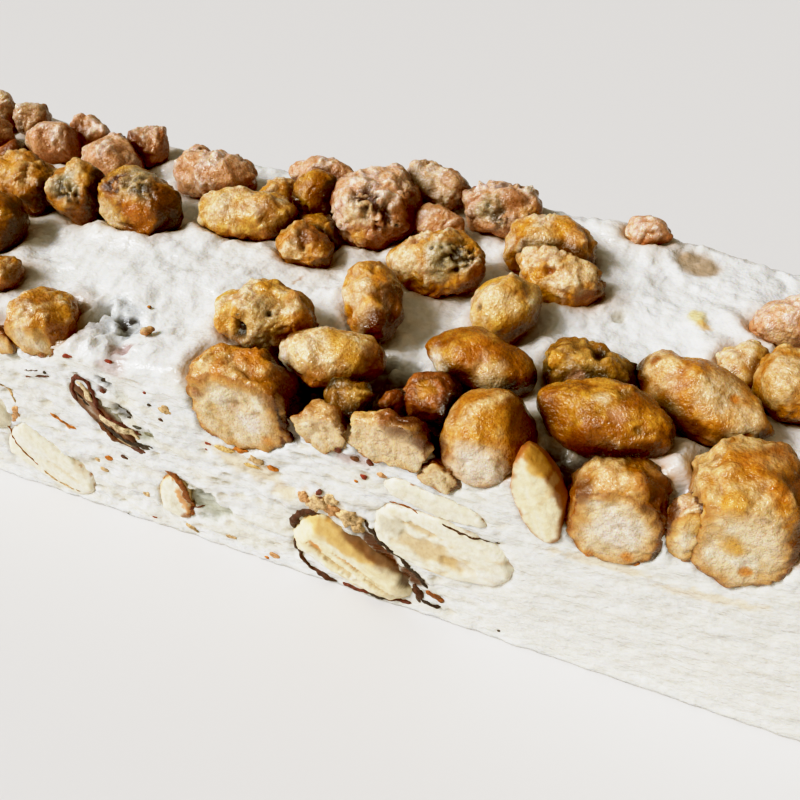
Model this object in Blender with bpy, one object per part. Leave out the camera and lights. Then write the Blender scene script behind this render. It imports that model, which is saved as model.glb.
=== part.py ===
"""Nougat bar topped with candied nuts.

A soft white block cut square on all sides, with candied peanuts and almonds pressed into its top in
uneven rows, and almonds that the knife went through showing flush in the cut sides.
Frame: X along the bar, -Y the front cut side, Z up; the origin is the middle of the flat underside.
Placements are in millimetres, everything that reaches a mesh is in metres.
"""
import math
import random
from collections import namedtuple

import bmesh
import bpy
from mathutils import Matrix, Vector, noise
from mathutils.geometry import tessellate_polygon

MM = 0.001

# The block
LENGTH = 160 * MM
WIDTH = 50 * MM
HEIGHT = 30 * MM
TOP_CELL = 8 * MM            # spacing of the grid that makes the uneven top
TOP_SWELL = 0.9 * MM         # how far the top rises and falls
TOP_WAVE = 24 * MM           # length of one rise and fall
TOP_PATTERN = 3.7            # picks one of the possible patterns of rises
EDGE_ROUND = 0.8 * MM        # how far the top drops at the cut edges
EDGE_REACH = 1.5 * MM        # how far in from the cut edges the drop is felt
RIDGE = Vector((43 * MM, 22 * MM))   # middle of the low ridge along the back edge
RIDGE_REACH = Vector((22 * MM, 6 * MM))      # how far it runs along the bar and across it
RIDGE_RISE = 1.2 * MM

# The nuts
SMALL_NUT = 72               # length times width, in square millimetres, of a nut with few facets
SMALL_NUT_SIDES = 7
SMALL_NUT_RINGS = 5
LUMPS = 7                    # rounded bumps on one nut
LUMP_RISE = 0.13             # height of the highest bump, as a share of the nut's radius
LUMP_DENT = 0.4              # depth of the deepest dent, as a share of the highest bump
LUMP_SPREAD = 0.55           # width of a bump, in radians
LUMP_SHIFT = 0.12            # how far a bump may be off its even place along the nut
LUMP_TURN = 0.4              # and round it, in radians
WAIST_DEPTH = 0.22           # pinch between the two halves of a double nut
WAIST_WIDTH = 0.35           # and its width, both as shares of the nut's radius
BLOCKY = 3.2                 # exponent of a chunk's squared-off outline, 2 is an ellipsoid
ROLL = 0.25                  # most a nut is turned about its length, in radians
PITCH = 0.12                 # most an end of it is raised, in radians

# Where pieces meet
GAP = 0.3 * MM               # clearance between pieces that lie against each other
NEIGHBOUR_REACH = 20 * MM    # pieces with their middles further apart than this never touch
SNAP = 0.5 * MM              # corners closer than this to a cut are moved onto it
SHARPEST_CORNER = 1.6        # most a corner moves out when a piece grows, in margins
SMOOTH_BELOW = 40            # edges flatter than this many degrees are shaded smooth

# form: "round" is one smooth kernel, "double" has two lobes, "chunk" is a broken or cut lump
Nut = namedtuple("Nut", "x y z length width height yaw form")
NUTS = (
    # back row, from the left end
    Nut(-74.5, 14.5, 32.0, 10, 8, 8, 25, "round"),
    Nut(-68.6, 18.8, 31.6, 8, 7, 7.5, 10, "chunk"),
    Nut(-64.5, 12.0, 32.0, 8, 7, 7.5, 60, "round"),
    Nut(-53.8, 14.0, 31.9, 10, 8, 9, 15, "double"),
    Nut(-51.2, 19.2, 31.2, 8.5, 6, 6.5, 0, "round"),
    Nut(-42.5, 13.4, 31.5, 10, 9, 7.5, -20, "chunk"),
    Nut(-39.6, 18.6, 32.0, 7.5, 7, 7.5, 30, "round"),
    Nut(-25.0, 14.0, 32.6, 14, 11, 9, 5, "double"),
    Nut(-9.8, 19.9, 32.2, 12.5, 7, 7.5, 0, "double"),
    Nut(-8.3, 14.0, 32.6, 7.5, 6.5, 8, 70, "chunk"),
    Nut(1.0, 13.6, 33.5, 13.5, 12, 10.2, 20, "chunk"),
    Nut(7.0, 21.0, 34.0, 12.5, 7, 8, -5, "double"),
    Nut(10.2, 13.6, 32.7, 9.5, 6, 6.5, -8, "round"),
    Nut(17.4, 19.4, 33.4, 12, 9, 10, -5, "double"),
    # middle rows, from the left end
    Nut(-73.5, 3.0, 32.5, 13, 9, 9, -15, "round"),
    Nut(-66.5, -8.0, 32.3, 13, 9, 9, 35, "double"),
    Nut(-49.8, 2.2, 32.5, 15, 10, 9, -8, "round"),
    Nut(-47.6, -8.0, 32.2, 10, 8, 8.5, 20, "chunk"),
    Nut(-40.2, 2.0, 32.8, 10, 9, 9, 30, "round"),
    Nut(-30.4, 2.6, 33.0, 13, 8.5, 9, -12, "chunk"),
    Nut(-15.4, 6.4, 32.6, 15.5, 10, 9, 5, "double"),
    Nut(-4.8, 2.8, 32.0, 9.5, 6.5, 6.5, -15, "chunk"),
    Nut(8.5, -5.5, 32.8, 14, 8, 9, -64, "round"),
    Nut(13.3, 5.0, 33.0, 14.6, 9.5, 9, 3, "round"),
    Nut(24.0, -1.0, 32.6, 9.6, 9.8, 9.2, 0, "round"),
    Nut(26.0, 12.6, 33.0, 12.5, 8.5, 8.8, 0, "chunk"),
    Nut(28.6, 7.8, 32.6, 12.5, 8, 8, -14, "round"),
    Nut(36.2, -7.4, 31.8, 11.5, 7, 7.2, -5, "chunk"),
    Nut(48.8, -7.9, 32.6, 18.3, 9, 8.6, -26, "round"),
    Nut(59.0, -1.2, 32.6, 11, 14, 9, 10, "double"),
    Nut(58.0, 9.3, 32.4, 13, 7, 8.5, 0, "round"),
    Nut(69.5, 15.0, 32.3, 12, 9, 9, -30, "double"),
    Nut(74.0, -1.5, 32.3, 11, 9, 9, 60, "round"),
    # front rows, from the left end; those beyond y = -20 are cut by the front side
    Nut(-73.0, -20.5, 31.0, 12, 10, 11, 10, "chunk"),
    Nut(-56.0, -20.5, 31.0, 14, 9, 10, -8, "round"),
    Nut(-29.8, -21.4, 29.8, 9, 8.5, 8, 30, "chunk"),
    Nut(-2.2, -13.2, 32.5, 14, 10, 10, 5, "round"),
    Nut(8.2, -16.6, 32.4, 14.6, 8.2, 7.4, 18, "round"),
    Nut(-0.9, -22.0, 27.3, 14.2, 9, 14, 0, "chunk"),
    Nut(10.3, -23.8, 28.5, 7.2, 5, 5.6, 0, "chunk"),
    Nut(18.3, -24.0, 29.6, 11, 5, 7, 0, "chunk"),
    Nut(21.0, -17.6, 31.3, 9, 6.5, 7, -10, "round"),
    Nut(24.6, -11.4, 32.7, 15.5, 8.2, 8.2, -3, "round"),
    Nut(28.5, -20.5, 30.6, 11.5, 11, 12.5, 15, "round"),
    Nut(40.3, -15.0, 32.5, 17.3, 9.8, 9.2, -8, "round"),
    Nut(43.9, -22.6, 27.0, 10.8, 8, 13, 0, "chunk"),
    Nut(56.2, -19.8, 29.2, 12.5, 13, 15.5, 10, "chunk"),
    Nut(68.0, -15.0, 32.0, 10, 12, 10, 20, "double"),
)

# Almonds that the cuts went through. tilt turns the almond in the plane of its cut, positive
# raising its right-hand end; deep is its size across the cut.
Almond = namedtuple("Almond", "name side along z length width deep tilt")
ALMONDS = (
    Almond("almond_pale", "front", 25.2, 14.4, 19, 11, 7, -8),
    Almond("almond_thin_slice", "front", 24.2, 22.0, 14, 3.6, 4, -10),
    Almond("almond_skinned", "front", 13.4, 6.3, 18.5, 10, 7, -25),
    Almond("almond_left", "front", -33.2, 6.1, 15.5, 9, 6, -32),
    Almond("almond_far_left", "front", -44.0, 15.5, 15, 9, 6, -35),
    Almond("almond_curl", "front", -21.0, 19.4, 13, 4.4, 4, -46),
    Almond("almond_chip", "front", -12.7, 7.4, 9, 5.2, 4, 80),
    Almond("almond_sliver", "front", 35.5, 27.8, 14.6, 5.6, 8, 108),
    Almond("almond_back", "back", 34.0, 12.0, 20, 9, 7, 24),
    Almond("almond_left_end", "left", -6.0, 13.0, 19, 9, 7, 28),
    Almond("almond_right_end", "right", 8.0, 15.0, 20, 9, 7, -26),
)
TIP_TAPER = 0.34             # how much an almond narrows from its blunt end to its tip
CUT_DEPTH = 0.16             # where the cut runs, as a share of the almond's depth off its middle

SIDES = {
    # side: (outward normal, direction of "along" as seen from outside, distance of the cut)
    "front": (Vector((0, -1, 0)), Vector((1, 0, 0)), WIDTH / 2),
    "back": (Vector((0, 1, 0)), Vector((-1, 0, 0)), WIDTH / 2),
    "left": (Vector((-1, 0, 0)), Vector((0, -1, 0)), LENGTH / 2),
    "right": (Vector((1, 0, 0)), Vector((0, 1, 0)), LENGTH / 2),
}

# name: (colour, roughness)
FINISHES = {
    "nougat_white": ((0.86, 0.84, 0.79, 1), 0.55),
    "candied_nut": ((0.52, 0.25, 0.07, 1), 0.35),
    "almond_flesh": ((0.80, 0.64, 0.42, 1), 0.6),
}


# A closed surface: its corners, and its faces as tuples of corner numbers
Shell = namedtuple("Shell", "corners faces")


def clear_scene():
    for thing in list(bpy.data.objects):
        bpy.data.objects.remove(thing, do_unlink=True)


def finish(name):
    colour, roughness = FINISHES[name]
    material = bpy.data.materials.new(name)
    material.use_nodes = True
    shader = material.node_tree.nodes["Principled BSDF"]
    shader.inputs["Base Color"].default_value = colour
    shader.inputs["Roughness"].default_value = roughness
    shader.inputs["Metallic"].default_value = 0.0
    return material


def add_object(name, shell, material):
    mesh = bpy.data.meshes.new(name)
    mesh.from_pydata(shell.corners, [], shell.faces)
    mesh.materials.append(material)
    mesh.shade_smooth()
    mesh.set_sharp_from_angle(angle=math.radians(SMOOTH_BELOW))
    thing = bpy.data.objects.new(name, mesh)
    bpy.context.scene.collection.objects.link(thing)
    return thing


def fan(polygon):
    """The triangles of a convex polygon."""
    return [(polygon[0], polygon[i], polygon[i + 1]) for i in range(1, len(polygon) - 1)]


def fine_ball():
    """A sphere of radius 1 made of equal triangles."""
    shape = bmesh.new()
    bmesh.ops.create_icosphere(shape, subdivisions=2, radius=1)
    shape.verts.index_update()
    corners = [vert.co.copy() for vert in shape.verts]
    faces = [tuple(vert.index for vert in face.verts) for face in shape.faces]
    shape.free()
    return Shell(corners, faces)


def coarse_ball():
    """A sphere of radius 1 with few corners, its poles up and down."""
    corners = [Vector((0, 0, 1))]
    for ring in range(1, SMALL_NUT_RINGS):
        slope = math.pi * ring / SMALL_NUT_RINGS
        for side in range(SMALL_NUT_SIDES):
            turn = 2 * math.pi * side / SMALL_NUT_SIDES
            corners.append(Vector((
                math.sin(slope) * math.cos(turn), math.sin(slope) * math.sin(turn), math.cos(slope))))
    bottom = len(corners)
    corners.append(Vector((0, 0, -1)))
    faces = []
    for side in range(SMALL_NUT_SIDES):
        here = 1 + side
        beside = 1 + (side + 1) % SMALL_NUT_SIDES
        faces.append((0, here, beside))
        for ring in range(SMALL_NUT_RINGS - 2):
            down = ring * SMALL_NUT_SIDES
            below = down + SMALL_NUT_SIDES
            faces += fan([here + down, here + below, beside + below, beside + down])
        down = (SMALL_NUT_RINGS - 2) * SMALL_NUT_SIDES
        faces.append((bottom, beside + down, here + down))
    return Shell(corners, faces)


def sides_of(face):
    """The directed edges of a face."""
    return zip(face, face[1:] + face[:1])


def cap_faces(corners, faces):
    """Triangles that close the openings of a cut shell."""
    edges = [edge for face in faces for edge in sides_of(face)]
    known = set(edges)
    follow = {b: a for a, b in edges if (b, a) not in known}
    caps = []
    while follow:
        at = next(iter(follow))
        loop = []
        while at in follow:
            loop.append(at)
            at = follow.pop(at)
        flat = tessellate_polygon([[corners[i] for i in loop]])
        for a, b, c in flat:
            forward = (b - a) * (c - b) * (a - c) < 0
            face = (loop[a], loop[b], loop[c])
            caps.append(face if forward else face[::-1])
    return caps


def slice_off(shell, point, normal):
    """Cut away what lies beyond a plane, and close the cut."""
    depths = [(corner - point).dot(normal) for corner in shell.corners]
    for i, depth in enumerate(depths):
        if abs(depth) < SNAP:
            shell.corners[i] -= normal * depth
            depths[i] = 0.0
    corners = []
    numbers = {}

    def number_of(i, j):
        """The new number of old corner i, or of the place where edge i-j meets the plane."""
        key = (min(i, j), max(i, j))
        if key not in numbers:
            near, far = key
            share = depths[near] / (depths[near] - depths[far]) if near != far else 0
            numbers[key] = len(corners)
            corners.append(shell.corners[near].lerp(shell.corners[far], share))
        return numbers[key]

    faces = []
    for face in shell.faces:
        if min(depths[i] for i in face) >= 0:
            continue
        polygon = []
        for i, j in sides_of(face):
            if depths[i] <= 0:
                polygon.append(number_of(i, i))
            if depths[i] * depths[j] < 0:
                polygon.append(number_of(i, j))
        faces += fan(polygon)
    shell.corners[:] = corners
    shell.faces[:] = faces + cap_faces(corners, faces)


def trim_to_block(shell):
    """Cut a piece flush with the sides of the block."""
    for normal, _, distance in SIDES.values():
        if max(corner.dot(normal) for corner in shell.corners) > distance:
            slice_off(shell, normal * distance, normal)


def lump_directions(chance):
    """Evenly spread directions for the bumps of one nut, each a little off its place."""
    turn = math.pi * (3 - math.sqrt(5))
    for step in range(LUMPS):
        height = 1 - 2 * (step + 0.5) / LUMPS + chance.uniform(-LUMP_SHIFT, LUMP_SHIFT)
        height = max(-1.0, min(1.0, height))
        ring = math.sqrt(1 - height * height)
        angle = step * turn + chance.uniform(-LUMP_TURN, LUMP_TURN)
        yield Vector((height, ring * math.cos(angle), ring * math.sin(angle)))


def nut_radius(direction, form, lumps):
    """Distance of a nut's surface from its middle, for a nut of radius 1."""
    radius = 1.0
    if form == "chunk":
        total = sum(abs(part) ** BLOCKY for part in direction)
        radius = total ** (-1 / BLOCKY)
    if form == "double":
        radius -= WAIST_DEPTH * math.exp(-(direction.x / WAIST_WIDTH) ** 2)
    for bump, rise in lumps:
        off = bump.angle(direction)
        radius += rise * math.exp(-(off / LUMP_SPREAD) ** 2)
    return radius / (1 + LUMP_DENT * LUMP_RISE)


def nut_shape(nut, chance):
    """A lumpy kernel in its place, before it is trimmed."""
    lumps = [
        (bump, chance.uniform(-LUMP_DENT, 1.0) * LUMP_RISE) for bump in lump_directions(chance)]
    shell = fine_ball() if nut.length * nut.width > SMALL_NUT else coarse_ball()
    roll = Matrix.Rotation(chance.uniform(-ROLL, ROLL), 4, "X")
    pitch = Matrix.Rotation(chance.uniform(-PITCH, PITCH), 4, "Y")
    place = Matrix.Translation(Vector((nut.x, nut.y, nut.z)) * MM)
    place = place @ Matrix.Rotation(math.radians(nut.yaw), 4, "Z") @ pitch @ roll
    half = Vector((nut.length, nut.width, nut.height)) * MM / 2
    for i, corner in enumerate(shell.corners):
        direction = corner.normalized()
        reach = direction * nut_radius(direction, nut.form, lumps)
        shell.corners[i] = place @ (reach * half)
    return shell


def almond_shape(almond):
    """An almond lying in the plane of its cut, wide at one end and pointed at the other."""
    normal, along, distance = SIDES[almond.side]
    up = Vector((0, 0, 1))
    tilt = math.radians(almond.tilt)
    length_way = along * math.cos(tilt) + up * math.sin(tilt)
    width_way = up * math.cos(tilt) - along * math.sin(tilt)
    depth = almond.deep * MM
    middle = along * almond.along * MM + up * almond.z * MM + normal * (distance - depth * CUT_DEPTH)
    shell = fine_ball()
    for i, corner in enumerate(shell.corners):
        direction = corner.normalized()
        narrowing = 1 - TIP_TAPER * max(0.0, direction.x) ** 1.5
        shell.corners[i] = (
            middle
            + length_way * direction.x * almond.length * MM / 2
            + width_way * direction.y * narrowing * almond.width * MM / 2
            + normal * direction.z * narrowing * depth / 2)
    return shell


def trial_directions(first, second):
    """Directions along which two pieces may lie clear of each other."""
    yield (second - first).normalized()
    for slope in (-30, 0, 30):
        for turn in range(0, 360, 15):
            level = math.cos(math.radians(slope))
            heading = math.radians(turn)
            yield Vector((
                level * math.cos(heading),
                level * math.sin(heading),
                math.sin(math.radians(slope))))


def part_from_neighbour(first, second):
    """Flatten two pieces against each other where they would overlap, leaving the gap."""
    centres = [
        sum(shell.corners, Vector()) / len(shell.corners)
        for shell in (first, second)]
    if (centres[1] - centres[0]).length > NEIGHBOUR_REACH:
        return
    best = None
    for way in trial_directions(*centres):
        near = max(corner.dot(way) for corner in first.corners)
        far = min(corner.dot(way) for corner in second.corners)
        if best is None or near - far < best[0]:
            best = (near - far, way, (near + far) / 2)
    overlap, way, middle = best
    if overlap > -GAP:
        slice_off(first, way * (middle - GAP / 2), way)
        slice_off(second, way * (middle + GAP / 2), -way)


def grown(shell, margin):
    """A copy of a piece with every face moved out by about the margin."""
    normals = [[] for _ in shell.corners]
    for face in shell.faces:
        a, b, c = (shell.corners[i] for i in face)
        across = (b - a).cross(c - a)
        for i in face:
            normals[i].append(across.normalized())
    corners = []
    for corner, around in zip(shell.corners, normals):
        way = sum(around, Vector()).normalized()
        slant = min(way.dot(normal) for normal in around)
        corners.append(corner + way * margin / max(slant, 1 / SHARPEST_CORNER))
    return Shell(corners, shell.faces)


def top_height(x, y):
    """Height of the block's top above its underside."""
    swell = TOP_SWELL * noise.noise(Vector((x / TOP_WAVE, y / TOP_WAVE, TOP_PATTERN)))
    to_edge = min(LENGTH / 2 - abs(x), WIDTH / 2 - abs(y))
    drop = EDGE_ROUND * math.exp(-to_edge / EDGE_REACH)
    off = Vector(((x - RIDGE.x) / RIDGE_REACH.x, (y - RIDGE.y) / RIDGE_REACH.y))
    ridge = RIDGE_RISE * math.exp(-off.length_squared)
    return HEIGHT + swell + ridge - drop


def block_shell():
    """The block before the nuts are pressed in: an uneven top on four flat sides."""
    columns = round(LENGTH / TOP_CELL)
    rows = round(WIDTH / TOP_CELL)

    def number_of(column, row):
        return row * (columns + 1) + column

    corners = []
    for row in range(rows + 1):
        for column in range(columns + 1):
            x = (column / columns - 0.5) * LENGTH
            y = (row / rows - 0.5) * WIDTH
            corners.append(Vector((x, y, top_height(x, y))))
    faces = []
    for row in range(rows):
        for column in range(columns):
            faces.append((
                number_of(column, row),
                number_of(column + 1, row),
                number_of(column + 1, row + 1),
                number_of(column, row + 1)))
    # the top's edges, in the order front, right, back, left
    rims = (
        [number_of(column, 0) for column in range(columns + 1)],
        [number_of(columns, row) for row in range(rows + 1)],
        [number_of(column, rows) for column in range(columns, -1, -1)],
        [number_of(0, row) for row in range(rows, -1, -1)])
    foot = [len(corners) + side for side in range(4)]
    for rim in rims:
        corners.append(Vector((corners[rim[0]].x, corners[rim[0]].y, 0)))
    for side, rim in enumerate(rims):
        faces.append((foot[side], foot[(side + 1) % 4], *reversed(rim)))
    faces.append(tuple(reversed(foot)))
    return Shell(corners, faces)


def press_in(block, shell, name):
    """Cut the pocket that holds one piece."""
    cutter = add_object(name + "_pocket", grown(shell, GAP), bpy.data.materials["nougat_white"])
    cutter.hide_render = True
    cutter.display_type = "WIRE"
    pocket = block.modifiers.new(name, "BOOLEAN")
    pocket.operation = "DIFFERENCE"
    pocket.solver = "EXACT"
    pocket.object = cutter


def build():
    clear_scene()
    for name in FINISHES:
        finish(name)
    block = add_object("nougat", block_shell(), bpy.data.materials["nougat_white"])
    pieces = {}
    for number, nut in enumerate(NUTS, start=1):
        pieces[f"nut_{number:02d}"] = nut_shape(nut, random.Random(number))
    for almond in ALMONDS:
        pieces[almond.name] = almond_shape(almond)
    names = list(pieces)
    for index, name in enumerate(names):
        for other in names[index + 1:]:
            part_from_neighbour(pieces[name], pieces[other])
    for name, shell in pieces.items():
        trim_to_block(shell)
        press_in(block, shell, name)
        material = "candied_nut" if name.startswith("nut") else "almond_flesh"
        add_object(name, shell, bpy.data.materials[material])


build()
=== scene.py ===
"""Looks of the nougat bar: candied nuts, cut almonds, soft white nougat, crumbs, light and camera.

Every nut and almond starts from its CAD solid, which is re-cut into small even faces, given its
lumps, pits and knobs, and coloured point by point. The nougat is a new skin over the CAD block.
Lengths are millimetres; x runs along the bar, -y is the front cut side, z is up.
"""

import math
from collections import namedtuple

import bmesh
import bpy
import numpy as np
from mathutils import Matrix, Vector
from mathutils import noise as cad_noise
from mathutils.bvhtree import BVHTree
from mathutils.kdtree import KDTree


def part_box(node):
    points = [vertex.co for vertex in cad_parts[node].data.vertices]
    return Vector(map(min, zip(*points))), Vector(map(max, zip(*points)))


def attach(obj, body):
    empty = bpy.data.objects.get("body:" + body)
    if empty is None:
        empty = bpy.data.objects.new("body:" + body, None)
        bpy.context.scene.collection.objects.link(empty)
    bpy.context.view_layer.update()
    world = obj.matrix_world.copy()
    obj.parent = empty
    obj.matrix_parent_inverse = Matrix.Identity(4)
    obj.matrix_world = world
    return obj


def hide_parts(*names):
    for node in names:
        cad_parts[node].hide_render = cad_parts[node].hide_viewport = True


MM = 0.001
FRONT = -25               # y of the front side
HIGH_TOP = 30.0           # level of the block's top before it swells

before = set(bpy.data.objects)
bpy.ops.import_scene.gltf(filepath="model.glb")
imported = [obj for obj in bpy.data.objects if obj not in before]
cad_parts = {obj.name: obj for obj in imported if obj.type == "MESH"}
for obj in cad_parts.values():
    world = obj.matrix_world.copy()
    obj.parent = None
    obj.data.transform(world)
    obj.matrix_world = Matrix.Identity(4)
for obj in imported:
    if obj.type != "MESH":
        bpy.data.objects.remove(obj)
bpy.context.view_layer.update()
HALF_LENGTH, HALF_WIDTH, HIGHEST = np.array(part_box("nougat")[1]) / MM
FAR = 9.0                 # farther from anything than a measure goes


# ---------------------------------------------------------------- colours

def srgb(red, green, blue):
    """Screen colour from 0 to 255, as the linear values that shaders use."""
    share = np.array((red, green, blue)) / 255
    return np.where(share <= 0.04045, share / 12.92, ((share + 0.055) / 1.055) ** 2.4)


def colours(**shades):
    """Linear values of named screen colours."""
    return {name: srgb(*shade) for name, shade in shades.items()}


def ramp(values, start, end):
    """0 before start, 1 after end, smooth between."""
    share = np.clip((values - start) / (end - start), 0, 1)
    return share * share * (3 - 2 * share)


def layered(tone, *layers):
    """Colours with more laid over them in turn, each a colour and its share from 0 to 1."""
    for colour, share in layers:
        tone = tone + (colour - tone) * np.asarray(share)[..., None]
    return tone


# ---------------------------------------------------------------- noise

def cell_value(cells, seed):
    """A repeatable value from 0 to 1 for each whole-number cell."""
    x, y, z = (cells[..., axis].astype(np.int64) for axis in range(3))
    mixed = (x * 374761393 + y * 668265263 + z * 2147483629 + seed * 974634777) & 0xFFFFFFFF
    mixed = ((mixed ^ (mixed >> 13)) * 1274126177) & 0xFFFFFFFF
    mixed = ((mixed ^ (mixed >> 15)) * 2246822519) & 0xFFFFFFFF
    return ((mixed ^ (mixed >> 16)) & 0xFFFFFF) / 0xFFFFFF


def cell_triple(cells, seed):
    return np.stack([cell_value(cells, seed * 3 + axis) for axis in range(3)], -1)


def noise(points, size, seed=0):
    """Smooth noise of about -1 to 1, with features of the given size."""
    scaled = points / np.array(size, dtype=float)
    cells = np.floor(scaled)
    inside = scaled - cells
    fade = inside ** 3 * (inside * (inside * 6 - 15) + 10)
    total = np.zeros(len(points))
    for corner in np.ndindex(2, 2, 2):
        corner = np.array(corner)
        slope = cell_triple(cells + corner, seed) - 0.5
        share = np.prod(np.where(corner, fade, 1 - fade), axis=-1)
        total += share * np.sum(slope * (inside - corner), axis=-1)
    return total * 2.4


def rough_noise(points, size, octaves, seed=0):
    """Noise with finer and weaker layers added to it."""
    return sum(noise(points, size / 2 ** layer, seed + layer) / 2 ** layer for layer in range(octaves))


def noise_triple(points, size, seed):
    """Smooth noise along each axis."""
    return np.stack([noise(points, size, seed + axis) for axis in range(3)], -1)


def grains(points, size, seed):
    """Distance to the nearest of scattered grains, in grain sizes, and a value of that grain's own."""
    scaled = points / np.array(size, dtype=float)
    cells = np.floor(scaled)
    near = np.full(len(points), FAR)
    number = np.zeros(len(points))
    for step in np.ndindex(3, 3, 3):
        cell = cells + np.array(step) - 1
        away = np.linalg.norm(cell + cell_triple(cell, seed) - scaled, axis=-1)
        number = np.where(away < near, cell_value(cell, seed + 77), number)
        near = np.minimum(away, near)
    return near, number


# ---------------------------------------------------------------- points and meshes

def middle(values):
    return (values.max() + values.min()) / 2


def turned(first, second, degrees):
    """Two coordinates after a turn in their plane."""
    cosine, sine = math.cos(math.radians(degrees)), math.sin(math.radians(degrees))
    return first * cosine + second * sine, second * cosine - first * sine


def pushed(points, ways, amounts):
    """Points moved along their ways."""
    return points + ways * amounts[:, None]


def points_of(mesh):
    """Corners of a mesh in millimetres."""
    flat = np.empty(len(mesh.vertices) * 3)
    mesh.vertices.foreach_get("co", flat)
    return flat.reshape(-1, 3) / MM


def normals_of(mesh):
    flat = np.empty(len(mesh.vertices) * 3)
    mesh.vertex_normals.foreach_get("vector", flat)
    return flat.reshape(-1, 3)


def move_points(mesh, points):
    mesh.vertices.foreach_set("co", (points * MM).ravel())
    mesh.update()


def paint(mesh, tone, dull=0.0):
    """Store the colour of each point, and how dull it is from 0 to 1, for the materials to read."""
    layer = mesh.color_attributes.new("tone", "FLOAT_COLOR", "POINT")
    layer.data.foreach_set("color", np.column_stack([np.clip(tone, 0, 1), np.ones(len(tone))]).ravel())
    layer = mesh.attributes.new("dull", "FLOAT", "POINT")
    layer.data.foreach_set("value", np.full(len(tone), dull))


def placed(name, data):
    """A new object in the scene."""
    thing = bpy.data.objects.new(name, data)
    bpy.context.scene.collection.objects.link(thing)
    return thing


def add_piece(name, mesh, material, replaced=()):
    """Put a mesh into the scene as a piece of the bar."""
    mesh.materials.clear()
    mesh.materials.append(material)
    mesh.shade_smooth()
    piece = placed(name, mesh)
    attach(piece, "root")
    if replaced:
        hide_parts(*replaced)


def evened(mesh, cell, softening):
    """A copy of a closed mesh made of small even faces, with its corners softened."""
    thing = placed("evened", mesh)
    remesh = thing.modifiers.new("even", "REMESH")
    remesh.mode = "VOXEL"
    remesh.voxel_size = cell * MM
    soft = thing.modifiers.new("soft", "SMOOTH")
    soft.factor = 0.5
    soft.iterations = softening
    bpy.context.view_layer.update()
    result = bpy.data.meshes.new_from_object(thing.evaluated_get(bpy.context.evaluated_depsgraph_get()))
    bpy.data.objects.remove(thing, do_unlink=True)
    return result


def spread_out(mesh, values, rounds):
    """Values at a mesh's corners, each averaged with its neighbours' a few times."""
    ends = np.empty(len(mesh.edges) * 2, dtype=np.int32)
    mesh.edges.foreach_get("vertices", ends)
    first, second = ends.reshape(-1, 2).T
    neighbours = np.bincount(ends, minlength=len(values))
    for _ in range(rounds):
        around = np.bincount(first, values[second], len(values))
        around += np.bincount(second, values[first], len(values))
        values = (values + around / neighbours) / 2
    return values


def smoothed(values, rounds):
    """A run of values, each but the ends averaged with its neighbours a few times."""
    for _ in range(rounds):
        values[1:-1] = (values[:-2] + values[1:-1] * 2 + values[2:]) / 4
    return values


def ball(size, yaw=0.0, place=(0, 0, 0)):
    """A closed ellipsoid mesh of the given three diameters, turned about the vertical."""
    shape = bmesh.new()
    bmesh.ops.create_icosphere(shape, subdivisions=3, radius=0.5)
    move = Matrix.Translation(Vector(place)) @ Matrix.Rotation(math.radians(yaw), 4, "Z")
    move = Matrix.Scale(MM, 4) @ move @ Matrix.Diagonal((*size, 1))
    bmesh.ops.transform(shape, matrix=move, verts=shape.verts[:])
    mesh = bpy.data.meshes.new("ball")
    shape.to_mesh(mesh)
    shape.free()
    return mesh


def surface_tree(meshes):
    """A search tree over the surfaces of some meshes, in millimetres."""
    corners, faces = [], []
    start = 0
    for mesh in meshes:
        corners.append(points_of(mesh))
        faces += [tuple(v + start for v in face.vertices) for face in mesh.polygons]
        start += len(mesh.vertices)
    return BVHTree.FromPolygons([Vector(p) for p in np.concatenate(corners)], faces)


# ---------------------------------------------------------------- materials

def add_node(tree, kind, values=None, **settings):
    node = tree.nodes.new("ShaderNode" + kind)
    for name, value in settings.items():
        setattr(node, name, value)
    for name, value in (values or {}).items():
        node.inputs[name].default_value = value
    return node


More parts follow.
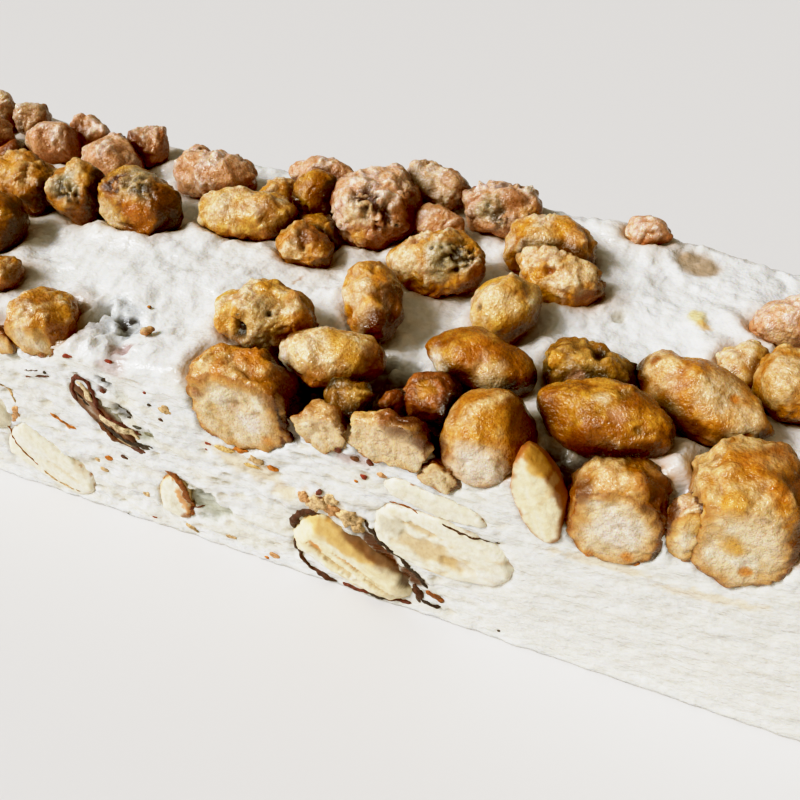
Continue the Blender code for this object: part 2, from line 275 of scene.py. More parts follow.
def food_material(name, mottle, tints, grit, bumps, gloss, fixed, stretch=(1, 1, 1)):
    """Finish whose colour comes from the painted points, broken up by finer mottling.

    mottle: size of the mottling; tints: its darkest and lightest factors
    grit: size of the finest speckle, and its darkest and lightest factors
    bumps: size and height of each layer of surface grain, and how busy it is
    gloss: roughness of the shiniest and dullest spots; fixed: other shader values
    stretch: how much finer the grain is along x, y and z
    """
    material = bpy.data.materials.new(name)
    material.use_nodes = True
    tree = material.node_tree
    link = tree.links.new
    shader = tree.nodes["Principled BSDF"]
    for socket, value in fixed.items():
        shader.inputs[socket].default_value = value
    mapping = add_node(tree, "Mapping", {"Scale": stretch})
    link(add_node(tree, "TexCoord").outputs["Object"], mapping.inputs["Vector"])

    def speckle(size, detail):
        texture = add_node(tree, "TexNoise", {"Scale": 1 / (size * MM), "Detail": detail, "Roughness": 0.6})
        link(mapping.outputs["Vector"], texture.inputs["Vector"])
        return texture.outputs["Fac"]

    def tinted(colour, size, *tints):
        spread = add_node(tree, "ValToRGB")
        for stop, position, tint in zip(spread.color_ramp.elements, (0.34, 0.66), tints):
            stop.position = position
            stop.color = (*tint, 1)
        link(speckle(size, 3), spread.inputs["Fac"])
        mixed = add_node(tree, "Mix", data_type="RGBA", blend_type="MULTIPLY")
        link(strength.outputs["Value"], mixed.inputs["Factor"])
        link(colour, mixed.inputs["A"])
        link(spread.outputs["Color"], mixed.inputs["B"])
        return mixed.outputs["Result"]

    dull = add_node(tree, "Attribute", attribute_name="dull").outputs["Fac"]
    strength = add_node(tree, "Math", operation="SUBTRACT")
    strength.inputs[0].default_value = 1
    link(dull, strength.inputs[1])
    tone = add_node(tree, "Attribute", attribute_name="tone").outputs["Color"]
    link(tinted(tinted(tone, mottle, *tints), *grit), shader.inputs["Base Color"])

    spread = add_node(tree, "MapRange", {
        "From Min": 0.3, "From Max": 0.7, "To Min": gloss[0], "To Max": gloss[1]})
    link(speckle(mottle * 1.7, 2), spread.inputs["Value"])
    roughness = add_node(tree, "Math", operation="MAXIMUM")
    link(spread.outputs["Result"], roughness.inputs[0])
    link(dull, roughness.inputs[1])
    link(roughness.outputs["Value"], shader.inputs["Roughness"])

    normal = None
    for size, height, detail in bumps:
        bump = add_node(tree, "Bump", {"Strength": 1, "Distance": height * MM})
        link(speckle(size, detail), bump.inputs["Height"])
        if normal:
            link(normal, bump.inputs["Normal"])
        normal = bump.outputs["Normal"]
    link(normal, shader.inputs["Normal"])
    link(normal, shader.inputs["Coat Normal"])
    return material


CANDY = food_material(
    "candied nut", 1.0, ((0.79, 0.64, 0.44), (1.09, 1.09, 1.12)),
    (0.34, (0.82, 0.70, 0.50), (1.11, 1.11, 1.13)),
    ((0.9, 0.22, 3), (0.36, 0.20, 2)), (0.14, 0.38),
    {"Specular IOR Level": 0.42, "Coat Weight": 0.30, "Coat Roughness": 0.08,
     "Subsurface Weight": 0.25, "Subsurface Scale": 0.0018, "Subsurface Radius": (1.0, 0.40, 0.08)})
ALMOND = food_material(
    "almond", 1.2, ((0.93, 0.90, 0.84), (1.04, 1.04, 1.04)),
    (0.5, (0.95, 0.94, 0.92), (1.03, 1.03, 1.03)),
    ((1.2, 0.12, 4), (0.4, 0.06, 4)), (0.30, 0.5),
    {"Specular IOR Level": 0.4, "Subsurface Weight": 0.2, "Subsurface Scale": 0.001,
     "Subsurface Radius": (1.0, 0.7, 0.4)})
NOUGAT = food_material(
    "nougat", 1.6, ((0.95, 0.945, 0.93), (1.03, 1.03, 1.03)),
    (0.5, (0.95, 0.945, 0.93), (1.02, 1.02, 1.02)),
    ((1.8, 0.40, 1.5), (0.5, 0.15, 1.5)), (0.14, 0.40),
    {"Specular IOR Level": 0.6, "Subsurface Weight": 0.3, "Subsurface Scale": 0.002,
     "Subsurface Radius": (1.0, 0.82, 0.58)}, (0.7, 0.75, 1.3))
SKIN = food_material(
    "almond skin", 0.5, ((0.55, 0.5, 0.5), (1.2, 1.1, 1.0)), (0.3, (0.7, 0.65, 0.6), (1.2, 1.15, 1.1)),
    ((0.5, 0.25, 4), (0.2, 0.12, 4)), (0.3, 0.6), {"Specular IOR Level": 0.4})


# ---------------------------------------------------------------- the viewer's side

# Marks are placed as seen from here: the front side, half right, from above
FORWARD = np.array((-0.2712, 0.6734, -0.6877))
RIGHT = np.array((0.9276, 0.3735, 0.0))
UP = np.cross(RIGHT, FORWARD)
SHADE_WAY = np.array((0.80, 0.40, -0.44))     # the side of a nut away from the lamps, painted dark: painted shade
LIT_WAY = np.array((-0.62, -0.30, 0.72))    # the side towards the lamps, which is painted paler on a nut: painted light

# sugar on the knobs, body, deep and painted shade of each kind of nut; deep colours the creases, the foot and
# the unlit side, partly as painted shade, and the rims of cut faces
PALETTES = {kind: [srgb(*shade) for shade in shades] for kind, shades in {
    "golden": ((253, 231, 200), (224, 162, 56), (164, 86, 16), (78, 26, 4)),
    "amber": ((220, 166, 66), (170, 104, 9), (116, 58, 3), (48, 18, 2)),
    "toasted": ((240, 208, 158), (208, 143, 46), (140, 72, 9), (58, 19, 3)),
    "pink": ((254, 236, 226), (230, 182, 150), (186, 114, 68), (124, 60, 28)),
    "pale": ((255, 238, 208), (238, 192, 100), (188, 110, 28), (90, 36, 6)),
    "sugar": ((253, 243, 232), (238, 206, 178), (188, 124, 84), (104, 48, 24)),
    "brown": ((190, 118, 56), (124, 58, 16), (72, 27, 5), (34, 10, 2)),
    "olive": ((216, 172, 96), (156, 106, 30), (84, 46, 9), (34, 15, 3)),
    "cut": ((250, 223, 186), (234, 186, 112), (172, 98, 26), (78, 31, 6)),
}.items()}
COLOURS = colours(
    pit=(38, 16, 12), plum=(84, 42, 44), char=(60, 34, 20), grey=(196, 186, 160), cream=(249, 227, 192),
    white=(244, 233, 218), orange=(216, 134, 36), gold=(228, 166, 56), peach=(240, 208, 168),
    rust=(152, 82, 26), rose=(214, 164, 140), mahogany=(96, 36, 8))

POROUS = ("pit", "plum", "char")     # marks of these colours break up into small holes
POROUS_SIZE = 3       # if they are wider than this
CONTACT_SHADE_REACH = 2.6     # nuts closer than this darken each other with painted shade
NUT_CELL = 0.27       # spacing of the points on a nut
NUT_SOFTENING = 44    # rounds of smoothing before its lumps are made
CUT_SOFTENING = 5     # the same for a nut that is cut through
NUT_SHARE = 0.92      # the light falls harder on the nuts than on the table
NUT_PATTERN = 41.3    # how far apart the patterns of two nuts are
SIDE_SKIN = 0.3       # points this close to a side lie on a cut face
SIDE_HOLD = 1.6       # points this deep are free to move
ROUNDED = {"pink": 0.55, "sugar": 0.55, "cut": 0}     # how far each kind is rounded to an oval
ROUNDED_ELSE = 0.15

# knob: how far the sugar knobs stand out; grain: how wide they are; baked: strength of the painted shade on
# the side away from the lamps
Look = namedtuple("Look", "palette knob grain baked")
# nut_01 onwards
LOOKS = [Look(*row) for row in (
    ("pink", 0.35, 2.2, 0.7), ("sugar", 0.35, 2.2, 0.5), ("pink", 0.35, 2.2, 0.9),
    ("pink", 0.32, 2.4, 0.8), ("pink", 0.32, 2.2, 0.8), ("pink", 0.35, 2.4, 1), ("pink", 0.35, 2, 0.9),
    ("pink", 0.4, 2.2, 0.9), ("pink", 0.35, 2.2, 0.8), ("amber", 0.35, 2.2, 0.9), ("pink", 0.45, 2, 1),
    ("sugar", 0.4, 2, 0.5), ("pink", 0.2, 2.4, 0.3), ("pink", 0.45, 1.9, 0.8), ("golden", 0.4, 2.2, 0.8),
    ("amber", 0.4, 2.2, 0.8), ("toasted", 0.45, 1.9, 0.7), ("amber", 0.25, 2.6, 0.9),
    ("toasted", 0.35, 2, 0.9), ("amber", 0.25, 1.8, 1), ("pale", 0.35, 2.4, 0.9),
    ("toasted", 0.25, 2, 0.8), ("golden", 0.2, 2.2, 1), ("golden", 0.3, 1.8, 0.8), ("pale", 0.2, 2.8, 1),
    ("golden", 0.4, 1.9, 0.9), ("golden", 0.4, 1.9, 0.8), ("olive", 0.36, 1.8, 0.9),
    ("toasted", 0.16, 2.8, 0.9), ("toasted", 0.4, 2.4, 0.7), ("pink", 0.35, 2.2, 0.7),
    ("pink", 0.4, 2.2, 0.7), ("toasted", 0.4, 2.2, 0.8), ("toasted", 0.35, 2.2, 0.8),
    ("amber", 0.4, 2.2, 0.8), ("golden", 0.25, 1.8, 0.3), ("pale", 0.4, 1.9, 1), ("pale", 0.2, 2.2, 0.9),
    ("toasted", 0.4, 2.2, 1), ("cut", 0.2, 2, 0.6), ("cut", 0.25, 2, 0.6), ("brown", 0.2, 2.2, 1),
    ("amber", 0.12, 2.6, 0.9), ("toasted", 0.14, 3, 1), ("amber", 0.15, 2, 0.9),
    ("toasted", 0.3, 2, 0.9), ("toasted", 0.35, 2.6, 1), ("toasted", 0.4, 2.4, 0.8),
)]

# by number of the nut; right and up: place on it from -1 to 1, as seen from the viewer's side;
# size: how wide; height: how far it stands out, or is sunk if negative; strength of its colour
Mark = namedtuple("Mark", "right up size height colour strength")
# the mahogany marks on the right and lower sides of the nuts are painted shade
MARKS = {
    11: ((-0.35, -0.25, 5, 0, "cream", 0.7), (-0.25, 0.05, 4, -0.45, "plum", 1),
         (-0.02, -0.25, 4.4, -0.5, "plum", 1), (0.15, -0.45, 3.2, -0.5, "plum", 1),
         (0.45, -0.6, 0.9, -0.4, "pit", 1), (-0.4, -0.75, 3, 0.2, "gold", 0.7)),
    12: ((-0.4, 0.2, 5, 0, "white", 0.5), (0.4, -0.1, 4, 0, "rust", 0.25)),
    13: ((0, 0.1, 4.5, -0.15, "orange", 0.3),),
    14: ((-0.45, -0.1, 4.5, 0, "grey", 0.8), (-0.15, -0.3, 4.4, -0.4, "char", 0.9),
         (-0.4, 0.05, 0.9, -0.4, "pit", 0.9), (0.1, 0.7, 4, -0.2, "plum", 0.8),
         (0.25, 0.15, 3.5, 0.1, "rust", 0.6), (0.5, 0.5, 1.7, 0.5, "white", 1),
         (0.55, -0.3, 3, 0.1, "gold", 0.5)),
    17: ((-0.2, 0.3, 5, 0, "gold", 0.6),),
    19: ((-0.1, 0.2, 5.4, -0.4, "grey", 0.9), (-0.35, 0, 3.6, -0.4, "char", 0.9),
         (0, -0.3, 3.4, -0.4, "pit", 0.9), (0.4, 0.3, 2.5, 0.4, "gold", 0.8),
         (-0.7, 0.1, 2.5, 0.3, "cream", 0.7)),
    20: ((0, 0.45, 8, 0.2, "grey", 0.7), (-0.45, 0.5, 5, -0.3, "plum", 1),
         (0.2, 0.35, 4.4, -0.3, "char", 0.9), (-0.75, -0.35, 6, 0.1, "cream", 0.9),
         (0.1, -0.45, 5, 0, "orange", 0.6), (0.6, -0.1, 5, 0, "mahogany", 0.6)),
    21: ((-0.55, 0.1, 6, 0, "cream", 0.6), (0.45, 0, 4.5, -0.2, "rust", 0.6),
         (0.3, 0.5, 3, 0.2, "gold", 0.6)),
    22: ((-0.1, 0, 1.4, -0.4, "char", 0.7), (-0.4, -0.2, 4, 0.2, "cream", 0.7),
         (0.3, 0.6, 5, -0.4, "rust", 0.8), (0.7, 0.3, 4, 0, "mahogany", 0.7),
         (-0.1, 0.25, 3, -0.5, "mahogany", 0.6), (0, -0.95, 8, -1.2, "gold", 0.2)),
    23: ((-0.25, 0.75, 3, 0.4, "gold", 0.6), (-0.35, 0.2, 3.6, 0, "peach", 0.7),
         (-0.15, -0.35, 3, 0, "peach", 0.6), (0.6, 0, 6, -0.3, "mahogany", 0.8),
         (0.4, -0.65, 6, -0.3, "mahogany", 0.95), (-0.9, 0.5, 3, -0.7, "gold", 0.6),
         (-0.8, -0.4, 3, -0.5, "orange", 0.6), (0.2, 0.5, 3, 0, "orange", 0.5)),
    24: ((0.15, 0, 6.5, -0.15, "grey", 0.9), (0.55, 0.25, 4.6, -0.45, "char", 1),
         (0.25, -0.1, 3.4, -0.3, "char", 0.8), (0.4, -0.25, 1, -0.5, "pit", 1),
         (-0.1, 0.35, 0.7, -0.3, "pit", 1), (0.1, 0.35, 0.6, -0.3, "pit", 1),
         (-0.4, 0.6, 1.6, -0.2, "rust", 0.8), (-0.65, 0.1, 4.5, 0, "cream", 0.7),
         (0.3, 0.1, 0.7, -0.4, "pit", 0.8)),
    25: ((-0.3, 0.2, 5, 0, "cream", 0.7), (0.1, 0.6, 3.5, 0.1, "gold", 0.6),
         (-0.8, 0, 1.2, -0.3, "char", 0.7)),
    26: ((-0.3, 0.1, 5, 0, "cream", 0.5), (0.5, 0.3, 3.5, 0, "rose", 0.4),
         (-0.4, -0.2, 0.7, -0.4, "pit", 0.9)),
    27: ((-0.35, 0.25, 1.6, -0.7, "rust", 1), (0.3, 0.2, 5, 0, "cream", 0.6),
         (-0.5, -0.4, 4, 0, "gold", 0.7)),
    28: ((0.15, 0.5, 2.6, -0.5, "pit", 1), (-0.8, 0.3, 2.5, 0.2, "gold", 0.8),
         (-0.4, -0.2, 2.5, 0, "rose", 0.6), (0.4, 0.1, 3, 0, "gold", 0.35)),
    29: ((0.1, 0.1, 6, 0, "cream", 0.75), (0.5, -0.5, 4.5, 0, "cream", 0.7),
         (0.35, 0, 1.4, -0.2, "orange", 0.9), (0.5, -0.75, 1.2, -0.2, "orange", 0.9),
         (-0.85, 0.85, 1.8, 0, "rust", 0.8), (-0.5, 0.4, 3.5, 0, "rose", 0.4),
         (-0.3, -0.6, 5, 0, "mahogany", 0.8), (0.8, 0.2, 4.5, 0, "rust", 0.6)),
    30: ((-0.5, 0.3, 5, 0.3, "cream", 0.6), (0.2, -0.2, 5, 0, "cream", 0.6),
         (-0.05, 0.3, 1.8, -0.4, "orange", 0.7)),
    31: ((-0.2, 0, 1.8, -0.2, "orange", 0.7), (-0.5, -0.4, 4, 0, "cream", 0.5)),
    36: ((-0.3, 0, 3, 0, "cream", 0.5), (0.2, 0.6, 3, 0, "rust", 0.4)),
    37: ((0, 0.1, 8, 0, "grey", 0.45), (-0.45, -0.35, 2.6, -1, "pit", 1),
         (-0.8, -0.15, 2.8, 0.5, "gold", 0.9), (-0.5, 0.05, 1.8, 0.4, "gold", 0.9),
         (-0.42, 0, 0.8, -0.3, "pit", 0.9), (0.15, 0.05, 1.1, -0.5, "pit", 0.9),
         (0, 0.7, 2.2, 0.4, "gold", 0.7), (0.6, 0.6, 2.2, 0.4, "orange", 0.5),
         (0.75, -0.2, 4.5, 0, "orange", 0.6), (-0.1, -0.6, 4, 0, "cream", 0.6)),
    38: ((-0.45, 0.4, 7, 0, "cream", 0.8), (-0.9, 0, 2.4, 0.2, "white", 0.8), (0.75, 0, 4.5, 0, "rust", 0.8),
         (-0.3, -0.65, 4.5, -0.2, "rust", 0.6), (0.3, 0.1, 4, 0.1, "gold", 0.6),
         (0.3, -0.7, 4, 0, "mahogany", 0.6)),
    39: ((0.75, 0.2, 6, 0, "mahogany", 0.8), (0.85, -0.3, 4.5, 0, "mahogany", 0.8),
         (0.1, 0.75, 4, 0.2, "orange", 0.7), (-0.35, 0.55, 3, 0.2, "orange", 0.5),
         (-0.8, 0.1, 2.2, 0, "rust", 0.7), (-0.15, -0.2, 3.4, -0.15, "rust", 0.35),
         (0.1, -0.45, 4, 0.1, "white", 0.7), (0.35, -0.8, 2, 0, "orange", 0.7)),
    40: ((0, 0.3, 5, 0.1, "peach", 0.6), (0.6, 0.7, 2.6, 0.2, "rust", 0.6)),
    41: ((-0.2, 0.1, 6, 0.1, "peach", 0.7), (0.4, -0.3, 4, 0, "peach", 0.6),
         (0.35, 0.7, 5.4, 0.4, "mahogany", 0.95), (0.8, 0.3, 4, 0.1, "mahogany", 0.9),
         (-0.1, 0.8, 2.6, 0.3, "rust", 0.7)),
    42: ((-0.3, 0.4, 3, 0, "gold", 0.5),),
    43: ((-0.85, 0, 3.5, 0, "white", 0.9), (-0.1, 0.4, 5, 0, "orange", 0.6),
         (0.1, -0.4, 4.5, 0, "cream", 0.55), (0, 0.1, 1.8, 0.1, "rose", 0.5)),
    44: ((-0.3, 0.3, 6, 0, "gold", 0.35), (-0.3, -0.6, 7.5, 0, "white", 0.7),
         (0.8, 0.2, 6, 0, "mahogany", 0.8), (0.75, -0.4, 4.5, 0, "mahogany", 0.7)),
    45: ((-0.1, 0.55, 2.2, 0.1, "cream", 0.7), (0.1, 0.15, 2.6, 0, "rose", 0.5),
         (0.35, -0.2, 1.2, -0.3, "char", 0.7), (0.25, 0.6, 2.4, -0.2, "char", 0.5),
         (0.6, 0.1, 3, 0, "gold", 0.5), (-0.6, 0.3, 3.5, 0, "gold", 0.3),
         (-0.3, -0.8, 6, 0, "mahogany", 0.8), (0.4, -0.8, 6, 0, "mahogany", 0.6)),
    46: ((-0.1, -0.3, 6.5, 0.1, "white", 0.8), (-0.3, 0.65, 3.5, 0.1, "peach", 0.6),
         (0.75, 0.45, 5.5, 0, "mahogany", 0.85), (0.55, 0.15, 3, -0.3, "mahogany", 0.7),
         (-0.85, 0.4, 3.5, 0, "mahogany", 0.7), (0.85, -0.2, 3, 0, "rust", 0.7),
         (0.2, -0.85, 1.8, 0.1, "orange", 0.9), (-0.5, -0.8, 1.6, 0.1, "orange", 0.8),
         (0.3, 0.65, 3, 0.3, "orange", 0.6)),
    47: ((-0.1, -0.2, 6, 0.1, "cream", 0.6), (-0.5, 0.2, 3, 0.4, "gold", 0.7),
         (-0.4, -0.4, 3, 0.4, "gold", 0.7), (-0.1, 0.7, 4, 0, "orange", 0.5),
         (-0.1, -0.75, 1.6, -0.2, "orange", 0.9), (0.7, 0.35, 8, 0, "mahogany", 0.85),
         (0.75, -0.3, 8, 0, "mahogany", 0.85), (0.4, 0.8, 4, 0, "rust", 0.6),
         (0.1, 0.3, 3, -0.2, "orange", 0.6)),
}


# ---------------------------------------------------------------- nuts

def side_depth(points):
    """Distance of points inside the nearest cut side."""
    return np.minimum(HALF_WIDTH - np.abs(points[:, 1]), HALF_LENGTH - np.abs(points[:, 0]))


def place_of(mark, points):
    """The point of a nut's surface that lies under a mark."""
    across, along = points @ RIGHT, points @ UP
    right = middle(across) + mark.right * np.ptp(across) / 2
    up = middle(along) + mark.up * np.ptp(along) / 2
    return points[np.argmin(np.hypot(across - right, along - up) * 3 + points @ FORWARD)]


def painted_contact_shade(points, normals, others):
    """How closely the other nuts press on each point, from 0 to 1: the share of painted shade between them.
    """
    near = np.zeros(len(points))
    for index, point in enumerate(points):
        place, _, _, distance = others.find_nearest(Vector(point), CONTACT_SHADE_REACH)
        if place is not None:
            way = (place - Vector(point)).normalized()
            facing = way.dot(Vector(normals[index]))
            near[index] = (1 - distance / CONTACT_SHADE_REACH) * min(1, max(0, 0.7 + facing))
    return ramp(near, 0.1, 0.75)


def rounding(points):
    """The way from each point of a nut to the oval that fits the nut best."""
    centre = points.mean(axis=0)
    spread, axes = np.linalg.eigh(np.cov((points - centre).T))
    unit = (points - centre) @ axes / np.sqrt(spread)
    length = np.linalg.norm(unit, axis=1)
    return (unit * (length.mean() / length - 1)[:, None] * np.sqrt(spread)) @ axes.T


def depth_from_rim(points, cut):
    """Distance of each point of a cut face from the edge of that face."""
    distance = np.full(len(points), FAR)
    if cut.any() and not cut.all():
        others = points[~cut]
        tree = KDTree(len(others))
        for index, point in enumerate(others):
            tree.insert(point, index)
        tree.balance()
        distance[cut] = [tree.find(point)[2] for point in points[cut]]
    return distance


# the layers of a candied crust at each point; sugared: how far its sugar has crystallised
Crust = namedtuple("Crust", "lump knob bead fine fold sugared")


def crust_of(pattern, look):
    swirl = pattern + 0.8 * noise_triple(pattern, 1.8, 111)
    near, number = grains(swirl, 0.5 + look.grain * 0.2, 3)
    return Crust(
        lump=np.abs(noise(swirl, look.grain * 1.5, 201)) * 2.2,
        knob=np.abs(noise(swirl, look.grain * 0.65, 202)) * 2.2,
        bead=np.clip(1 - near * near * 1.2, 0, 1) * (0.3 + 0.7 * number),
        fine=rough_noise(pattern, 0.8, 2, 8),
        fold=1 - ramp(np.abs(noise(pattern, 5.2, 9)), 0.0, 0.16),
        sugared=ramp(noise(pattern, 3.6, 31), -0.30, 0.22) * min(1, look.knob / 0.3))


def crust_height(crust, look):
    """How far a crust stands out: knobs where it is crystallised, smooth and glassy elsewhere."""
    height = look.knob * (1.15 * crust.lump + (0.3 + 0.5 * crust.sugared) * crust.knob - 0.7)
    return height + (crust.sugared * (0.34 * (crust.bead - 0.4) + 0.18 * crust.fine) - 0.15 * crust.fold)


def crust_tone(crust, look, pattern, normals, level, hold, contact_shade):
    """Colours of a crust: sugar on its knobs; painted light on the side towards the lamps; darker creases and
    foot, partly glaze and partly painted shade; painted shade on the side away from the lamps and where other
    nuts come close.
    """
    sugar, body, deep, baked = PALETTES[look.palette]
    lump, knob, bead, fine, fold, sugared = crust
    # painted light: the side towards the lamps goes from deep through body to sugar, mixed with mottle
    lit = normals @ LIT_WAY
    painted_light = lit + 0.8 * rough_noise(pattern, 3.4, 3, 13) + 0.25 * bead + 0.3 * knob
    pale = 0.5 * lit + 0.25 * knob + 0.5 * sugared * bead + 0.1 * sugared + 0.6 * noise(pattern, 2.4, 15)
    creases = (1 - ramp(lump, 0, 0.35)) * 0.30 + (1 - ramp(knob, 0, 0.3)) * 0.35 * sugared + fold * 0.2
    # painted shade on the side away from the lamps
    shade = ramp(normals @ SHADE_WAY + 0.40 * noise(pattern, 2.5, 17), -0.10, 0.65) * look.baked
    return layered(
        deep, (body, ramp(painted_light, -0.30, 0.60)),
        (sugar, ramp(pale, 0.40, 0.90) * 0.95),
        # darker creases and foot: partly glaze pooled there, partly painted shade in the creases and where
        # the nut sinks into the nougat
        (deep, np.clip(creases, 0, 1) * hold),
        (deep, (1 - ramp(level + 0.5 * fine, 29.5, 33.0)) * 0.8),
        (baked, np.clip(shade * 0.9 + contact_shade * 0.9, 0, 0.95)))


def cut_tone(look, pattern, inward, contact_shade):
    """Colours of a cut face: the pale inside of the nut, darker towards its rim, with painted shade where
    other nuts come close.
    """
    _, body, deep, baked = PALETTES[look.palette]
    # a nut that is cut through is paler round its rim, and takes less painted shade from nearby nuts
    rim, edge, dark = (0.25, 0.3, 0.2) if look.palette == "cut" else (0.75, 0.6, 0.5)
    return layered(
        srgb(238, 214, 176), (srgb(208, 168, 112), ramp(rough_noise(pattern, 3.0, 3, 19), -0.1, 0.7)),
        (srgb(247, 237, 214), ramp(rough_noise(pattern, 2.4, 2, 20), 0.05, 0.5) * 0.8),
        (body, (1 - ramp(inward, 0.3, 2.2)) * rim),
        (deep, (1 - ramp(inward, -0.1, 0.7)) * edge),
        (baked, contact_shade * dark))


def marked(points, normals, pattern, tone, marks):
    """Points and colours with the marks of a nut on them."""
    for order, mark in enumerate(marks):
        off = np.linalg.norm(points - place_of(mark, points), axis=1) / (mark.size / 2)
        off += 0.55 * noise(pattern, max(mark.size * 0.4, 0.8), 23 + order)
        share = 1 - ramp(off, 0.45, 1.15)
        if mark.colour in POROUS and mark.size > POROUS_SIZE:
            share *= ramp(rough_noise(pattern, 0.9, 2, 90), -0.25, 0.1)
        tone = layered(tone, (COLOURS[mark.colour], share * mark.strength))
        points = pushed(points, normals, share * mark.height)
    return points, tone


def dress_nut(mesh, look, marks, seed, others):
    """Turn a plain closed mesh into a candied nut: knobs, creases, pits and painted colours."""
    broken = look.palette == "cut"
    mesh = evened(mesh, NUT_CELL, CUT_SOFTENING if broken else NUT_SOFTENING)
    points = points_of(mesh)
    pattern = points + seed * NUT_PATTERN
    depth = side_depth(points)
    hold = ramp(depth, SIDE_SKIN, SIDE_HOLD)
    points = pushed(points, rounding(points), ROUNDED.get(look.palette, ROUNDED_ELSE) * hold)
    points = pushed(points, noise_triple(pattern, 4.2, 101), 0.95 * hold)
    move_points(mesh, points)
    normals = normals_of(mesh)
    sideways = np.max(np.abs(normals[:, :2]), axis=1)
    cut = (depth < 0.9) & (sideways + 0.12 * noise(pattern, 1.5, 18) > 0.80)
    # painted shade where other nuts come close
    contact_shade = painted_contact_shade(points, normals, others)

    crust = crust_of(pattern, look)
    points = pushed(points, normals, crust_height(crust, look) * hold)
    tone = crust_tone(crust, look, pattern, normals, points[:, 2], hold, contact_shade)

    # the edges of cut nuts are jagged, and their faces crumbly
    away = (points - points.mean(axis=0)) * np.array((1, 0.3, 1))
    away /= np.linalg.norm(away, axis=1)[:, None] + 1e-6
    jag = np.abs(noise(pattern, 2.6, 24)) + 0.5 * np.abs(noise(pattern, 1.2, 25)) - 0.25
    points = pushed(points, away, jag * (1 - ramp(depth, 0.2, 3.0)) * (1.8 if broken else 0.7))
    inward = depth_from_rim(points, cut) + 0.9 * noise(pattern, 1.9, 21)
    tone = np.where(cut[:, None], cut_tone(look, pattern, inward, contact_shade), tone)
    crumble = rough_noise(pattern, 1.5, 3, 22) - 1.2 * np.abs(noise(pattern, 3.5, 26))
    points = pushed(points, normals, cut * 0.34 * crumble)

    points, tone = marked(points, normals, pattern, tone, marks)
    limit = np.array((HALF_LENGTH, HALF_WIDTH))
    points[:, :2] = np.clip(points[:, :2], -limit, limit)
    move_points(mesh, points)
    paint(mesh, tone * NUT_SHARE, np.where(cut, 0.6, 0.2 * crust.sugared))
    return mesh


nuts = [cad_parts[f"nut_{number:02d}"].data for number in range(1, len(LOOKS) + 1)]
for number, (nut, look) in enumerate(zip(nuts, LOOKS), 1):
    others = surface_tree([other for other in nuts if other != nut])
    marks = [Mark(*row) for row in MARKS.get(number, ())]
    dressed = dress_nut(nut.copy(), look, marks, number, others)
    add_piece(f"nut_{number:02d}_candied", dressed, CANDY, [f"nut_{number:02d}"])


# ---------------------------------------------------------------- patches and almonds

# An uneven oval patch on a surface: its middle, half sizes along and across, tilt in the plane
# of the surface, colour, strength, depth it is sunk, and how ragged its edge is
Patch = namedtuple("Patch", "x y z half_x half_z tilt colour strength depth rough")


def patch_share(patch, points, normals, seed):
    """How much of a patch each point takes, from 0 to 1."""
    off = points - np.array((patch.x, patch.y, patch.z))
    if abs(patch.y) < HALF_WIDTH - 0.1:
        across, along = off[:, 0], off[:, 1]
        there = normals[:, 2] > 0.5
    else:
        across, along = off[:, 0], off[:, 2]
        there = np.abs(points[:, 1] - patch.y) < 2
    first, second = turned(across, along, patch.tilt)
    first, second = first / patch.half_x, second / patch.half_z
    ragged = (0.25 + patch.rough) * noise(points, min(1.6, patch.half_x, patch.half_z), 50 + seed)
    return (1 - ramp(np.hypot(first, second) + ragged, 0.6, 1.1)) * there


def patched(points, normals, tone, patches, palette, seed=0):
    """Points and colours with patches sunk into them, and how much each point takes of each colour."""
    shares = {name: np.zeros(len(points)) for name in palette}
    for order, patch in enumerate(patches):
        share = patch_share(patch, points, normals, order + seed)
        tone = layered(tone, (palette[patch.colour], share * patch.strength))
        points = pushed(points, normals, share * -patch.depth)
        shares[patch.colour] = np.maximum(shares[patch.colour], share)
    return points, tone, shares


# tilt: of the long axis; flesh and vein: colours of the cut face; skin: colour of its rim;
# rim: width of the rim; dome: how far the face stands out; full: how blunt its ends are
Kernel = namedtuple("Kernel", "tilt flesh vein skin rim dome full")
KERNELS = {
    "almond_pale": (-8, "ivory", "tan", "ivory", 0.3, 0.1, 0.8),
    "almond_thin_slice": (-10, "ivory", "grey", "ivory", 0.3, 0.05, 0.8),
    "almond_skinned": (-25, "custard", "tan", "custard", 0.5, 0.9, 1.1),
    "almond_left": (-32, "ivory", "custard", "ivory", 0.3, 0.05, 1.3),
    "almond_far_left": (-35, "grey", "ivory", "ivory", 0.3, 0.05, 1),
    "almond_curl": (-46, "brown", "umber", "umber", 0.9, 0, 0.2),
    "almond_chip": (80, "ivory", "grey", "tan", 0.4, 0.1, 0.6),
    "almond_sliver": (108, "custard", "ivory", "rust", 0.6, 0.2, 0),
    "almond_back": (24, "ivory", "tan", "umber", 0.4, 0.2, 0.8),
    "almond_left_end": (28, "custard", "tan", "umber", 0.4, 0.2, 0.8),
    "almond_right_end": (-26, "ivory", "tan", "umber", 0.4, 0.2, 0.8),
}
FLESH = colours(
    ivory=(246, 238, 216), custard=(248, 232, 194), honey=(222, 174, 98), snow=(236, 232, 222),
    sand=(212, 176, 122), tan=(222, 192, 146), gold=(228, 172, 78), umber=(84, 38, 20),
    rust=(160, 92, 40), white=(246, 242, 228), orange=(216, 132, 40), black=(50, 24, 18),
    brown=(118, 66, 32), grey=(206, 196, 170), plum=(110, 44, 34), red=(150, 42, 20), coal=(70, 68, 66),
    moss=(150, 152, 128), butter=(240, 206, 136), peach=(228, 178, 132), crumb=(240, 212, 168))
